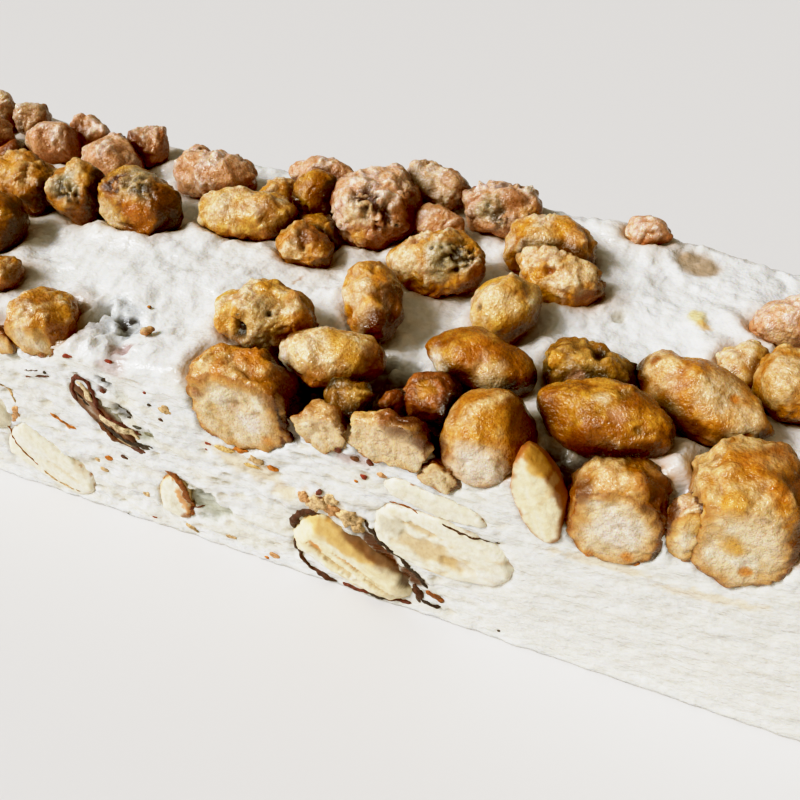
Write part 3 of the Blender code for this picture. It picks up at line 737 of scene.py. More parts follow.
# patches on the front side, without their y
KERNEL_PATCHES = {
    "almond_pale": (
        (24, 13.4, 5.6, 2.3, -14, "tan", 0.85, 0.2, 0.5),
        (27.5, 12.4, 2.6, 1.2, -10, "sand", 0.8, 0.2, 0.5),
        (19.5, 16, 2.4, 1.8, -8, "grey", 0.7, 0.1, 0.3),
        (22.6, 17.2, 2.8, 0.6, -16, "sand", 0.7, 0.2, 0.5), (30.5, 11.8, 3, 2, -8, "white", 0.6, 0, 0.4)),
    "almond_skinned": (
        (12, 10.6, 6.5, 1.6, -27, "honey", 0.8, 0, 0.2),
        (16.4, 10.2, 6.6, 1.8, -33, "brown", 0.9, 0, 0.2),
        (17, 10.8, 6.2, 1.1, -38, "umber", 0.95, 0, 0.2),
        (21.4, 5.8, 2.4, 1.6, -35, "umber", 0.9, 0.3, 0.3),
        (8.8, 8.2, 1.4, 0.6, -50, "orange", 0.9, 0.15, 0.2),
        (10.4, 6.6, 3.2, 0.35, -34, "sand", 0.85, 0.25, 0.5),
        (13.6, 6.6, 2.8, 0.3, -30, "orange", 0.6, 0.2, 0.5),
        (17.6, 3.6, 3.2, 0.3, -28, "tan", 0.85, 0.25, 0.5),
        (9.6, 3.4, 2.6, 0.3, -30, "tan", 0.7, 0.2, 0.5),
        (12.2, 5.2, 3.4, 0.5, -28, "tan", 0.8, 0.3, 0.4),
        (15.6, 5.4, 2.4, 0.3, -30, "tan", 0.6, 0.3, 0.4),
        (8, 5.2, 2.4, 1.7, -40, "white", 0.85, 0.1, 0.2),
        (15, 3.6, 3, 0.7, -25, "white", 0.5, -0.1, 0.4),
        (13.6, 2.8, 3, 0.25, -25, "tan", 0.7, 0.25, 0.4)),
    "almond_left": (
        (-35.5, 8, 3.4, 1.2, -32, "white", 0.6, -0.1, 0.4), (-31, 5, 3, 0.5, -32, "tan", 0.4, 0.1, 0.4),
        (-30, 2.8, 2.5, 0.9, -32, "white", 0.6, 0, 0.4), (-28, 7, 1.2, 2, 0, "tan", 0.35, 0, 0.4)),
    "almond_curl": (
        (-19.3, 21.5, 3.2, 1.15, -50, "snow", 1, 0.35, 0.2),
        (-21, 17.5, 1.8, 0.5, -50, "black", 0.7, 0.2, 0.5),
        (-18.6, 15.8, 1.2, 0.5, -30, "tan", 0.6, 0, 0.5)),
    "almond_chip": (
        (-11.2, 7.4, 0.7, 3.8, 14, "orange", 0.8, -0.15, 0.6),
        (-11.4, 4.4, 1, 0.8, 0, "rust", 0.9, -0.1, 0.5)),
    "almond_sliver": (
        (35.2, 33.6, 1.6, 1.8, 0, "gold", 0.8, 0, 0.4), (36.8, 30.5, 0.5, 3.4, -14, "sand", 0.5, 0, 0.4)),
}
ALMOND_CELL = 0.22        # spacing of the points on an almond
ALMOND_SOFTENING = 8      # rounds of smoothing
ALMOND_PATTERN = 17.3     # how far apart the grains of two almonds are


def dress_almond(mesh, kernel, patches, seed):
    """Turn a plain cut almond into one with veined flesh, a rim of skin and a softly domed face."""
    mesh = evened(mesh, ALMOND_CELL, ALMOND_SOFTENING)
    points = points_of(mesh)
    normals = normals_of(mesh)
    depth = side_depth(points)
    cut = depth < SIDE_SKIN
    outward = np.round(normals[cut].mean(axis=0))
    sideways = np.array((-outward[1], outward[0]))
    along, across = turned(points[:, :2] @ sideways, points[:, 2], kernel.tilt)
    end = (along - middle(along)) / (np.ptp(along) / 2)
    fuller = np.minimum(1 / np.sqrt(np.clip(1 - end * end, 0.05, 1)), 1.7) - 1
    wider = (across - middle(across)) * fuller * kernel.full
    shift, rise = turned(0, wider, -kernel.tilt)
    points[:, 2] += rise
    points[:, :2] += np.outer(shift, sideways)
    grain = np.column_stack([along / 4, across, depth * 0.5]) + seed * ALMOND_PATTERN

    rim = depth_from_rim(points, cut) + 0.4 * noise(points, 1.3, 71)
    streak = rough_noise(grain, 0.9, 3, 72)
    skin = FLESH[kernel.skin]
    face = layered(
        FLESH[kernel.flesh], (FLESH[kernel.vein], ramp(streak, 0.15, 0.9) * 0.8),
        (FLESH["white"], ramp(-streak, 0.1, 0.8) * 0.5),
        (skin, (1 - ramp(rim, kernel.rim * 0.4, kernel.rim * 1.3)) * 0.9))
    side = layered(skin, (FLESH["rust"], ramp(rough_noise(points, 1.2, 2, 73), 0, 0.6)))
    tone = np.where(cut[:, None], face, side)
    bulge = kernel.dome * ramp(rim, 0, 2.2) + 0.12 * streak + 0.07 * rough_noise(points, 0.7, 2, 74)
    points = pushed(points, normals, np.where(cut, bulge, 0.10 * rough_noise(points, 1.0, 2, 75)))
    points, tone, _ = patched(points, normals, tone, patches, FLESH, seed)
    move_points(mesh, points)
    paint(mesh, tone)
    return mesh


for order, (name, kernel) in enumerate(KERNELS.items()):
    patches = [Patch(x, FRONT, *rest) for x, *rest in KERNEL_PATCHES.get(name, ())]
    dressed = dress_almond(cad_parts[name].data.copy(), Kernel(*kernel), patches, order)
    add_piece(name + "_flesh", dressed, ALMOND, [name])


# ---------------------------------------------------------------- small pieces of nut

# place of the middle, three diameters, turn about the vertical, palette and knob as in Look
Bit = namedtuple("Bit", "name x y z long wide tall yaw palette knob")
BITS = (
    ("pink_bit", -62, 19, 32, 6.5, 6, 5.5, 10, "sugar", 0.35),
    ("dark_bit", -59, 10, 31, 6, 5, 4.5, 40, "brown", 0.3),
    ("left_bit", -40.5, -16, 31.2, 7, 6, 5, 20, "golden", 0.35),
    ("left_edge_chip", -34.5, -23.6, 27.5, 5, 4.2, 4.5, 0, "golden", 0.25),
    ("corner_bit", -14, 14, 31.3, 7.5, 6, 5.5, 30, "golden", 0.35),
    ("amber_bit", -5.5, 7.5, 31.4, 7.5, 5.2, 5.5, -20, "amber", 0.3),
    ("low_bit", 12, -20.6, 30.8, 6.2, 5.4, 4, 10, "olive", 0.3),
    ("brown_crumb", 17, -19, 30.8, 4.2, 3.6, 3.4, 30, "brown", 0.3),
    ("edge_crumb", 13.2, -20.8, 30.8, 3.2, 3, 2.8, 0, "brown", 0.2),
    ("cut_bit", 24.5, -23.8, 26.6, 5.4, 4, 4.6, 0, "cut", 0.2),
    ("sunk_bit", 37.4, 22, 33.2, 6.4, 5, 3.6, 10, "pink", 0.3),
    ("pale_bit", 53, 0.6, 31.6, 7.4, 7, 5.6, 0, "pale", 0.3),
    ("side_bit", 51.3, -22.8, 28.3, 5.4, 5, 10, 0, "golden", 0.35),
    ("back_bit", -29.2, 16.6, 33.2, 4.6, 4, 4.2, 20, "pink", 0.3),
    ("torn_crumb", -18.6, -14.4, 30.9, 1.5, 1.1, 1.2, 20, "golden", 0.3),
    ("torn_flake", -15.9, -18.8, 30.5, 2.4, 1.6, 1.4, 60, "pale", 0.3),
)
BIT_GRAIN = 1.9         # grain, and strength of painted shade, of every bit
BIT_PAINTED_SHADE = 0.8
FIRST_BIT_SEED = 60

all_nuts = surface_tree(nuts)
for seed, bit in enumerate((Bit(*row) for row in BITS), FIRST_BIT_SEED):
    shape = ball((bit.long, bit.wide, bit.tall), bit.yaw, (bit.x, bit.y, bit.z))
    points = points_of(shape)
    points[:, 1] = np.maximum(points[:, 1], -HALF_WIDTH)
    move_points(shape, points)
    dressed = dress_nut(shape, Look(bit.palette, bit.knob, BIT_GRAIN, BIT_PAINTED_SHADE), (), seed, all_nuts)
    add_piece(bit.name, dressed, CANDY)


# ---------------------------------------------------------------- nougat

SKIN_CELL = 0.5          # spacing of the points across the nougat
LAYER = 0.44             # and down its sides
FILLET = 1.8             # rounding of the upper edges
TOP_SWELL = 0.9          # as in the CAD block: how far the top rises and falls
TOP_WAVE = 24
TOP_PATTERN = 3.7
RIDGE = (43, 22, 22, 6)  # low ridge at the back edge: its middle, and its reach along and across
RIDGE_RISE = 1.2
FILM = 3.6               # nougat this near a nut clings to it or sinks beside it
LIP_ROUNDS = 12          # rounds of averaging over the film
SHOWN = (-48, 76)        # the photograph shows this stretch, so its columns are closer together
SHOWN_STEP = 0.4

NOUGAT_COLOURS = colours(
    green=(170, 172, 150), slate=(122, 121, 124), plum=(176, 140, 136), coal=(62, 58, 66),
    brown=(186, 160, 134), butter=(240, 222, 170), skin=(205, 190, 170), hollow=(52, 22, 8),
    groove=(168, 154, 116), honey=(232, 180, 96), peach=(236, 208, 164), bark=(92, 44, 18),
    mist=(208, 212, 216))
PATCHES = (       # the z of a patch on the top isn't read
    # painted shade in the hollows between the nuts at the front: the nougat there is sunk and coloured near
    # black
    (13, -17, 30, 12, 6, 0, "hollow", 0.95, 2.2, 0.3), (24.5, -18, 30, 4, 7, 0, "hollow", 0.95, 2.2, 0.3),
    (38, -20.5, 30, 4.6, 4.6, 0, "hollow", 0.95, 2.2, 0.3),
    (49.5, -22.5, 30, 1.6, 3, 0, "hollow", 0.6, 0.8, 0.3),
    (5.6, -21.6, 30, 2.4, 3.6, 0, "hollow", 0.95, 2, 0.3),
    (38.6, -25, 27.6, 1.3, 3.4, 0, "hollow", 0.95, 1.8, 0.3),
    (26.8, -25, 29, 1.2, 2.6, 0, "hollow", 0.9, 1.6, 0.3),
    (25.4, -24.4, 30, 1.6, 2.6, 0, "hollow", 0.95, 1.4, 0.2),
    (6.1, -25, 27.6, 1.5, 3.2, 10, "hollow", 0.95, 0.7, 0.2),
    (22.2, -20.4, 30, 1.8, 3.2, 0, "hollow", 0.95, 0.8, 0.2),
    (40.5, -24.5, 30, 1.4, 1.6, 0, "hollow", 0.8, 1, 0.2),
    # torn place at the front edge of the top
    (-24.4, -18.6, 30, 0.9, 4.2, -16, "groove", 1, 2, 0),
    (-21.5, -17.5, 30, 4.6, 3.8, 0, "mist", 0.7, 0.5, 0.3),
    (-20.2, -17.5, 30, 1.5, 1.1, 0, "coal", 1, 0.5, 0.9),
    (-19, -18.9, 30, 1.1, 0.8, 20, "coal", 0.9, 0.4, 0.9),
    (-18, -22, 30, 1.8, 1.2, 0, "plum", 0.8, 0.4, 0.7), (-17.5, -25, 29, 2.6, 1.5, 0, "plum", 0.5, 0.2, 0.3),
    # covered nut, cream chips and faint stains on the top
    (44.4, 19.6, 31, 3.4, 3, 0, "brown", 0.95, 0.5, 0), (46.2, 8, 31, 1.3, 2, 10, "butter", 1, -0.3, 0),
    (47.4, 6.6, 31, 1, 0.8, 0, "honey", 0.8, 0, 0), (37.2, 5.2, 31, 1.1, 1, 0, "groove", 0.5, 0.5, 0),
    (46, 24.5, 31, 12, 1.6, 0, "skin", 0.4, 0, 0.2),
    # pits in the front side
    (-19.5, -25, 26, 1.3, 0.5, -20, "coal", 0.9, 0.5, 0.2),
    (-20.3, -25, 24.4, 0.8, 0.5, 0, "plum", 0.9, 0.4, 0.2),
    (-18, -25, 21.2, 1.6, 1.2, -30, "slate", 0.8, 0.5, 0.5),
    (-14.8, -25, 18.2, 2, 1.1, 0, "green", 0.8, 0.3, 0.5),
    (-17.5, -25, 24.2, 1.8, 0.7, 0, "green", 0.4, 0.2, 0.3),
    (-7.5, -25, 7.5, 3, 2.6, -20, "green", 0.75, 0.5, 0.6),
    (-8.5, -25, 9.6, 2.2, 1, 0, "slate", 0.4, 0.4, 0.5), (14, -25, 25.3, 2.4, 1, 0, "plum", 0.6, 0.3, 0.3),
    # peach stains under the big cut nut, round the crumbs above the skinned almond, and at the right
    (-0.5, -25, 18.2, 7, 1.8, -22, "peach", 0.6, 0.1, 0.6),
    (11, -25, 16, 4.6, 1.4, -14, "peach", 0.5, 0.1, 0.5),
    (43, -25, 20.6, 6, 0.9, 4, "peach", 0.55, 0.1, 0.6), (55, -25, 20.4, 6, 0.9, 10, "peach", 0.5, 0.1, 0.6),
    # brown between the skinned almond and its black edge: partly its skin, partly painted shade in the gap
    # against the nougat
    (16.5, -25, 10.9, 5.6, 1.3, -42, "bark", 1, 0.2, 0.1),
    (21.6, -25, 6.9, 2.4, 1.4, -42, "bark", 1, 0.2, 0.1),
)
# Swellings of the top: middle, reach along and across, height
MOUNDS = (
    (-14, -3, 13, 8, 1.6), (-30, -6, 8, 6, 1.2), (7, 1, 5, 5, 1.2), (30, 6, 6, 5, 1.4),
    (48, 9, 13, 9, 1.6), (46.5, -17.5, 6, 4.5, 2.6), (31, 22, 13, 7, 2.2), (-22, -15, 3, 5, 1.2),
    (62, -14, 6, 6, 1.5), (-58, -8, 12, 8, 1.2),
)
TORN_PLACE = (-23, -19, 8, 6)                           # its middle and its reach
PUFFS = ((12, 1.7), (5.5, 0.9), (2.6, 0.7), (1.3, 0.5))     # width and height of each layer


def hill(points, x, y, reach_x, reach_y):
    """How near each point is to the middle of a place on the top, from 0 to 1."""
    return np.exp(-((points[:, 0] - x) / reach_x) ** 2 - ((points[:, 1] - y) / reach_y) ** 2)


def swell(points):
    """Rise of the block's top, as the CAD block has it."""
    waves = [cad_noise.noise(Vector((x / TOP_WAVE, y / TOP_WAVE, TOP_PATTERN))) for x, y, _ in points]
    return TOP_SWELL * np.array(waves) + RIDGE_RISE * hill(points, *RIDGE)


def block_skin():
    """Points and faces of the block's outside: a fine top, four fine sides and a plain underside."""
    first, last = SHOWN
    spread_x = np.concatenate([
        np.linspace(-HALF_LENGTH, first, 48), np.linspace(first + SHOWN_STEP, last, 295),
        np.linspace(last + SHOWN_STEP, HALF_LENGTH, 9)])
    columns = len(spread_x) - 1
    rows = round(2 * HALF_WIDTH / SKIN_CELL)
    layers = round(HIGHEST / LAYER)
    x, y = np.meshgrid(spread_x, np.linspace(-HALF_WIDTH, HALF_WIDTH, rows + 1))
    top = np.column_stack([x.ravel(), y.ravel(), np.zeros(x.size)])
    number = np.arange(x.size).reshape(x.shape)
    ring = np.concatenate([number[0, :-1], number[:-1, -1], number[-1, :0:-1], number[:0:-1, 0]])
    outward = np.repeat(
        np.array([(0, -1, 0), (1, 0, 0), (0, 1, 0), (-1, 0, 0)]), (columns, rows, columns, rows), axis=0)

    # the upper half of the rounded edge belongs to the top, the lower half to the walls
    quarter = math.pi / 4
    for axis, half in ((0, HALF_LENGTH), (1, HALF_WIDTH)):
        inside = half - np.abs(top[:, axis])
        turn = quarter * (1 + np.minimum(inside, FILLET) / FILLET)
        inset = np.where(inside < FILLET, FILLET * (1 - np.cos(turn)), inside)
        top[:, axis] = np.sign(top[:, axis]) * (half - inset)
        top[:, 2] -= FILLET * (1 - np.sin(turn))
    top[:, 2] += HIGH_TOP + swell(top)

    walls = []
    plan = top[ring].copy()
    for layer in range(1, layers + 1):
        down = layer / layers * HIGH_TOP
        turn = quarter * (1 - min(down, FILLET) / FILLET)
        drop = FILLET * (1 - math.sin(turn)) if down < FILLET else down
        share = (math.cos(turn) - math.cos(quarter)) / (1 - math.cos(quarter))
        wall = plan + outward * share * FILLET * (1 - math.cos(quarter))
        wall[:, 2] = (plan[:, 2] + FILLET * (1 - math.sin(quarter))) * (1 - drop / HIGH_TOP)
        walls.append(wall)

    faces = []
    for row in range(rows):
        for column in range(columns):
            a = row * (columns + 1) + column
            faces.append((a, a + 1, a + columns + 2, a + columns + 1))
    upper = ring
    for layer in range(layers):
        lower = x.size + layer * len(ring) + np.arange(len(ring))
        faces += zip(lower, np.roll(lower, -1), np.roll(upper, -1), upper)
        upper = lower
    faces.append(tuple(upper[::-1]))
    return np.concatenate([top] + walls), [tuple(int(corner) for corner in face) for face in faces]


def distances(tree, points, reach):
    """Distance of each point from the pieces, negative inside one, and the way from the nearest."""
    distance = np.full(len(points), float(reach))
    way = np.zeros((len(points), 3))
    for index, point in enumerate(points):
        place, normal, _, _ = tree.find_nearest(Vector(point), reach)
        if place is not None:
            step = Vector(point) - place
            distance[index] = math.copysign(step.length, step.dot(normal))
            way[index] = step.normalized()
    return distance, way


def relief(points, normals, on_top):
    """Plain nougat with puffs on its top and fibres and pores on its sides, its colours and side heights."""
    on_side = 1 - on_top
    warped = points + 1.6 * noise_triple(points, 6, 31)
    crumbs = rough_noise(points, 0.9, 2, 37)
    puffs = sum(np.abs(noise(warped, size, 34)) * rise for size, rise in PUFFS)
    mounds = sum(rise * hill(points, *place) for *place, rise in MOUNDS)
    torn = hill(points, *TORN_PLACE) * ramp(points[:, 2], 26, 29)
    rough = np.abs(noise(warped, 2.2, 38)) * 1.6 + np.abs(noise(warped, 1.1, 39)) * 1.1
    top_height = puffs + mounds - 1.0 + 0.06 * crumbs + torn * (rough - 0.7)

    coarse = 1 - 0.75 * ramp(points[:, 0], 18, 42)      # the sides are smoother at the right
    fibres = noise(warped, (8, 8, 2.4), 41) * (0.3 + 0.25 * coarse)
    fibres += np.abs(noise(warped, (3.6, 3.6, 1.4), 42)) * 0.6 * coarse
    near, number = grains(warped, (2.6, 2.6, 1.2), 43)
    pores = (1 - ramp(near, 0.15, 0.5)) * (number > 0.70) * coarse
    side_height = -0.45 + fibres - 0.40 * pores + 0.14 * crumbs * coarse
    points = pushed(points, normals, on_top * top_height + on_side * side_height)

    cream = on_side * (0.5 + coarse * (ramp(noise(warped, (7, 7, 1.6), 44), -0.3, 0.5) - 0.5))
    # painted light: the crowns of the puffs are painted whiter, and the top is painted whiter towards the
    # right, from x 15 on
    painted_light = np.maximum(ramp(puffs, 0.6, 1.3) * 0.6, ramp(points[:, 0], 15, 40) * 0.7)
    tone = layered(
        srgb(240, 240, 237), (srgb(236, 230, 213), cream * 0.8),
        (srgb(222, 212, 188), pores * 0.8 * on_side), (srgb(248, 248, 247), on_top * painted_light))
    return points, tone, side_height


def lips(mesh, tree, points, tone, on_top, hollow):
    """Nougat swollen up round each nut, with a brown crevice against it: syrup, painted stronger on the side
    away from the lamps as painted shade.
    """
    distance, way = distances(tree, points, FILM)
    gap = np.clip(distance, 0, FILM)
    touched = distance < FILM
    lip = np.exp(-((gap - 1.5) / 1.1) ** 2) * touched * np.clip(0.8 + 1.1 * noise(points, 5, 61), 0, 2)
    shaded = ramp(way @ SHADE_WAY, -0.4, 0.7)
    rise = 1.5 * lip * (1 - 0.5 * shaded) * (1 - hollow) - 0.8 * (1 - ramp(gap, 0.0, 0.7))
    points = pushed(points, np.array((0, 0, 1)), on_top * spread_out(mesh, rise, LIP_ROUNDS))
    # brown syrup against each nut, partly painted shade: stronger on the side away from the lamps
    syrup_and_shade = np.exp(-gap / 1.0) * touched * (0.55 + 0.45 * shaded)
    stain = np.exp(-gap / 1.8) * touched * np.clip(0.6 + 0.8 * noise(points, 4, 66), 0, 1)
    bare = on_top * (1 - hollow)
    tone = layered(tone, (srgb(160, 92, 32), bare * syrup_and_shade), (srgb(216, 184, 134), bare * stain * 0.45))
    return points, tone


def dress_nougat(nut_tree, almond_tree):
    """The block's skin, puffed, torn, stained and fitted round the nuts and almonds, with painted shade in
    the hollows between the front nuts and in the crevices beside the nuts.
    """
    points, faces = block_skin()
    mesh = bpy.data.meshes.new("nougat_skin")
    mesh.from_pydata(points * MM, [], faces)
    normals = normals_of(mesh)
    # the lowest edge moves level, so that it stays on the ground
    lowest = points[:, 2] < 0.1
    normals[lowest, 2] = 0
    normals[lowest] /= np.maximum(np.linalg.norm(normals[lowest], axis=1, keepdims=True), 0.001)
    on_top = np.clip(normals[:, 2], 0, 1)
    on_side = 1 - on_top

    points, tone, side_height = relief(points, normals, on_top)
    patches = [Patch(*row) for row in PATCHES]
    points, tone, shares = patched(points, normals, tone, patches, NOUGAT_COLOURS)
    points, tone = lips(mesh, nut_tree, points, tone, on_top, shares["hollow"])

    # over a cut piece the side is sunk enough to show the piece's face
    bare = 1 - np.maximum(shares["hollow"], shares["bark"])
    lap = 0.25 * noise(points, 2.2, 63)
    for tree, drop, colour in ((nut_tree, 1.5, srgb(206, 172, 124)), (almond_tree, 0.5, srgb(236, 228, 206))):
        below, _ = distances(tree, points - normals * 0.4, 1.6)
        sunk = (1 - ramp(below + lap, -0.5, 0.2)) * (on_side > 0.5)
        points = pushed(points, normals, sunk * -drop)
        tone = layered(tone, (colour, sunk * 0.6 * bare))
    foot = (1 - ramp(points[:, 2], 0, 2.2)) * on_side * (points[:, 2] < 4)
    points = pushed(points, normals, foot * (0.25 * noise(points, 2.4, 64) - side_height * 0.6))
    points[:, 2] = np.maximum(points[:, 2], 0)
    move_points(mesh, points)
    paint(mesh, tone)
    return mesh


# the nougat laps the pieces with these endings, and also the CAD solid of almond_chip
LAPPED = ("_candied", "_flesh", "_bit", "_chip", "edge_crumb")
pieces = [thing for thing in bpy.context.scene.objects
          if thing.type == "MESH" and thing.name.endswith(LAPPED)]
lapped_nuts = [piece.data for piece in pieces if not piece.name.endswith("_flesh")]
lapped_almonds = [piece.data for piece in pieces if piece.name.endswith("_flesh")]
skin = dress_nougat(surface_tree(lapped_nuts), surface_tree(lapped_almonds))
add_piece("nougat_skin", skin, NOUGAT, ["nougat"])


# ---------------------------------------------------------------- skins, streaks and flecks

# A ragged strip of skin along (x, z) points of the front side: width, how far it stands out
Strip = namedtuple("Strip", "path width thick colour")
STRIPS = (
    # skin round the skinned almond, with a gap at the left, and painted shade along its upper right edge
    (((9.2, 13.4), (7.2, 13.2), (5.9, 12), (5.2, 10.4), (5.1, 8.8)), 1.2, 0.9, "umber"),
    (((5.4, 7.6), (5.3, 5.6), (5.8, 3.6), (6.9, 2), (8.3, 1.1)), 0.6, 0.7, "umber"),
    (((7.6, 1.6), (9.2, 0.9), (10.8, 0.6)), 1.1, 0.8, "umber"),
    (((11.6, 0.7), (14, 0.5), (16.4, 0.6), (19, 0.7), (21.4, 1.2)), 0.5, 0.6, "plum"),
    (((15.2, 1.3), (16.8, 1.1), (18.2, 1)), 1.3, 0.6, "black"),
    # painted shade: a black strip in the gap between the almond's upper right edge and the nougat
    (((14.8, 15), (17, 12.9), (19.4, 10.6), (21.6, 8.2), (23.6, 5.6)), 0.8, 0.3, "black"),
    (((21.8, 5.4), (22.4, 3.6), (22.6, 2.2)), 1.5, 0.9, "umber"),
    (((23.4, 4.9), (24.6, 4.2), (25.6, 3.3)), 1.5, 0.8, "rust"),
    (((22.8, 2.8), (24.2, 2.5), (25.4, 2.4)), 0.4, 0.8, "black"),
    # dark line between the pale almond and the slice above it
    (((18.2, 20.2), (20.4, 20.1), (22.2, 19.6)), 0.28, 0.25, "rust"),
    (((25.2, 19.4), (27.6, 18.6), (30, 18.2), (32, 18)), 0.25, 0.25, "umber"),
    # curled skin: a small ring above, a cream strip over a dark hollow below
    (((-24.3, 21.4), (-24.7, 23.4), (-24.2, 25.2), (-23, 25.6), (-22, 24.6), (-21.5, 22.8),
       (-21.4, 21.2), (-20.6, 19.8)), 0.6, 0.5, "plum"),
    (((-23.9, 24.7), (-23, 24), (-22.4, 22.8), (-22, 21.8)), 0.95, 0.45, "custard"),
    (((-24.2, 23), (-23.6, 22), (-22.8, 21)), 0.5, 0.2, "black"),
    (((-21.4, 20), (-20.4, 19.2), (-18.8, 18.4), (-17.2, 17.8), (-16.4, 17)), 1.25, 0.5, "custard"),
    (((-20.6, 20), (-19, 19.4), (-17.4, 18.6), (-16, 17.6)), 0.4, 0.4, "plum"),
    (((-21.6, 18.8), (-20.4, 17.6), (-18.8, 16.6), (-17.2, 16), (-15.4, 15.9),
       (-14.4, 16.3)), 0.95, 0.2, "black"),
    (((-22, 18.4), (-21.2, 16.8), (-19.8, 15.6), (-18.2, 14.8)), 0.9, 0.5, "brown"),
    (((-18.4, 14.9), (-17, 14.6), (-15.8, 14.9)), 0.9, 0.4, "plum"),
    # edges of the left almonds
    (((-39.2, 11), (-38.4, 8.6), (-37, 6.4), (-35.6, 4.8)), 0.3, 0.25, "rust"),
    (((-35, 4), (-33.4, 2.6), (-31.4, 2), (-29.4, 1.7)), 0.3, 0.2, "tan"),
    (((-38.8, 22.4), (-37.6, 20.2), (-36.4, 18.2), (-35.8, 16.2)), 0.4, 0.3, "tan"),
    (((-35.9, 16), (-36.6, 14.4), (-37.6, 12.6)), 1.1, 0.3, "peach"),
    # jagged brown edge of the chip
    (((-13.4, 12.4), (-12, 12), (-11, 10.4), (-10.5, 8.4), (-10.2, 6.4), (-10.9, 4.2)), 1.1, 0.5, "rust"),
    (((-10.6, 6.2), (-9.6, 6.5), (-8.6, 6.9)), 0.35, 0.3, "plum"),
    # thin streaks
    (((-32.4, 22.6), (-31, 23.2), (-29.6, 23.5), (-28.2, 24)), 0.32, 0.3, "plum"),
    (((-32.2, 23.6), (-30.8, 24.3), (-29.6, 24.5)), 0.22, 0.25, "umber"),
    (((-30.2, 16.8), (-29.2, 16.2), (-28, 15), (-26.8, 14.8)), 0.55, 0.35, "orange"),
    (((-28.6, 15), (-27.8, 14.2)), 0.5, 0.3, "peach"),
    (((9.6, 17.4), (8.8, 16.2), (7.8, 15.2)), 0.5, 0.5, "plum"),
)
# An uneven fleck of the front side: middle, length, height, thickness, tilt in the plane of the side
Fleck = namedtuple("Fleck", "x z long tall thick tilt colour")
FLECKS = (
    (-24.2, 28.6, 1.6, 0.6, 0.5, 10, "red"), (-18.3, 29.3, 1.4, 0.7, 0.4, 20, "red"),
    (-31.6, 24, 0.4, 0.4, 0.3, 0, "black"), (-28.8, 24.4, 0.4, 0.4, 0.3, 0, "black"),
    (-19.7, 25.9, 1.9, 0.6, 0.4, 25, "black"), (-20.2, 23.9, 1, 0.9, 0.4, 0, "plum"),
    (-18, 21.8, 1.2, 0.4, 0.4, 0, "black"), (-17.2, 21, 1.1, 0.5, 0.4, -40, "black"),
    (-17.6, 20, 0.7, 0.4, 0.3, 10, "black"), (-16, 19.4, 1.4, 0.4, 0.3, 0, "coal"),
    (-14.4, 18.4, 1.6, 0.8, 0.3, 0, "moss"), (-13.6, 26.1, 0.5, 0.4, 0.3, 0, "red"),
    (-13.1, 24.5, 0.5, 0.4, 0.3, 0, "black"), (-11.2, 24.1, 2, 1.5, 0.5, 0, "tan"),
    (-11.8, 22.6, 0.8, 0.4, 0.3, 0, "umber"), (-22.4, 11, 1.3, 0.9, 0.4, 30, "orange"),
    (-24.6, 9.8, 0.9, 1, 0.4, 0, "tan"), (-19.8, 12, 1, 0.6, 0.4, -20, "umber"),
    (-24, 8.2, 1.1, 0.7, 0.4, 0, "tan"), (-17, 1.5, 0.7, 0.4, 0.3, 0, "red"),
    (-17.4, 6, 1.6, 0.9, 0.4, 0, "tan"), (-5.7, 20.3, 0.9, 0.6, 0.4, 0, "red"),
    (-6.2, 19, 0.5, 0.3, 0.3, 0, "red"), (15.2, 22.9, 1.1, 0.8, 0.4, -20, "red"),
    (14.4, 22, 0.5, 0.4, 0.3, 0, "orange"), (12.4, 26.6, 0.9, 1, 0.5, -30, "plum"),
    (14, 25.4, 1, 0.6, 0.5, 0, "brown"), (16.2, 25.8, 0.9, 1.2, 0.5, 20, "plum"),
    (17.6, 24.2, 1.2, 0.7, 0.4, 0, "peach"), (-1, 21, 2.2, 0.8, 0.6, 10, "orange"),
    (1.2, 20.4, 2, 1.2, 0.7, -10, "tan"), (3, 19.4, 1.6, 1.4, 0.7, -40, "orange"),
    (-3, 20.6, 2.4, 0.9, 0.5, 0, "butter"), (0.2, 18.6, 2, 0.7, 0.4, 0, "butter"),
    (9, 16, 3.3, 2.5, 1.8, 20, "crumb"), (11, 15.2, 2.6, 2.4, 1.8, 0, "peach"),
    (10.8, 17.2, 2.2, 1.7, 1.2, 30, "crumb"), (13.1, 14.8, 2.9, 2.6, 1.8, -20, "crumb"),
    (14.4, 13.6, 1.7, 1.7, 1.2, 0, "tan"), (7.3, 16.6, 1.6, 1.5, 0.9, 0, "peach"),
    (9.4, 17.9, 1.3, 0.7, 0.9, 50, "plum"), (-5, 2.5, 1.6, 0.7, 0.4, 0, "tan"),
    (1.5, 1.6, 1.5, 1.1, 0.4, -20, "peach"), (0.4, 0.8, 0.8, 0.5, 0.3, 0, "orange"),
    (-11, 1.6, 1.8, 0.9, 0.5, -30, "tan"), (42, 21.5, 1.5, 0.8, 0.4, 10, "orange"),
    (47, 21.8, 1.1, 0.8, 0.4, 0, "orange"), (33.3, 1.5, 0.5, 0.4, 0.3, 0, "black"),
)
AROUND = 8              # corners round a strip
STRIP_STEP = 0.25       # spacing of its rings
THICK_FLECK = 1.5       # flecks thicker than this stand out further
THICK_FLECK_OUT = 0.1
PATTERNS = (7.7, 9.1)   # how far apart the patterns of two strips and of two flecks are
OUTSIDE = -40           # y that the rays onto the front side start from
DEEPEST = 3             # the front side is nowhere deeper than this

front_tree = surface_tree([piece.data for piece in pieces] + [skin])


def front_level(places):
    """The y of the front side at each (x, z) place."""
    level = np.full(len(places), float(FRONT))
    for index, (x, z) in enumerate(places):
        hit = front_tree.ray_cast(Vector((x, OUTSIDE, z)), Vector((0, 1, 0)))[0]
        if hit is not None and hit.y < FRONT + DEEPEST:
            level[index] = hit.y
    return level


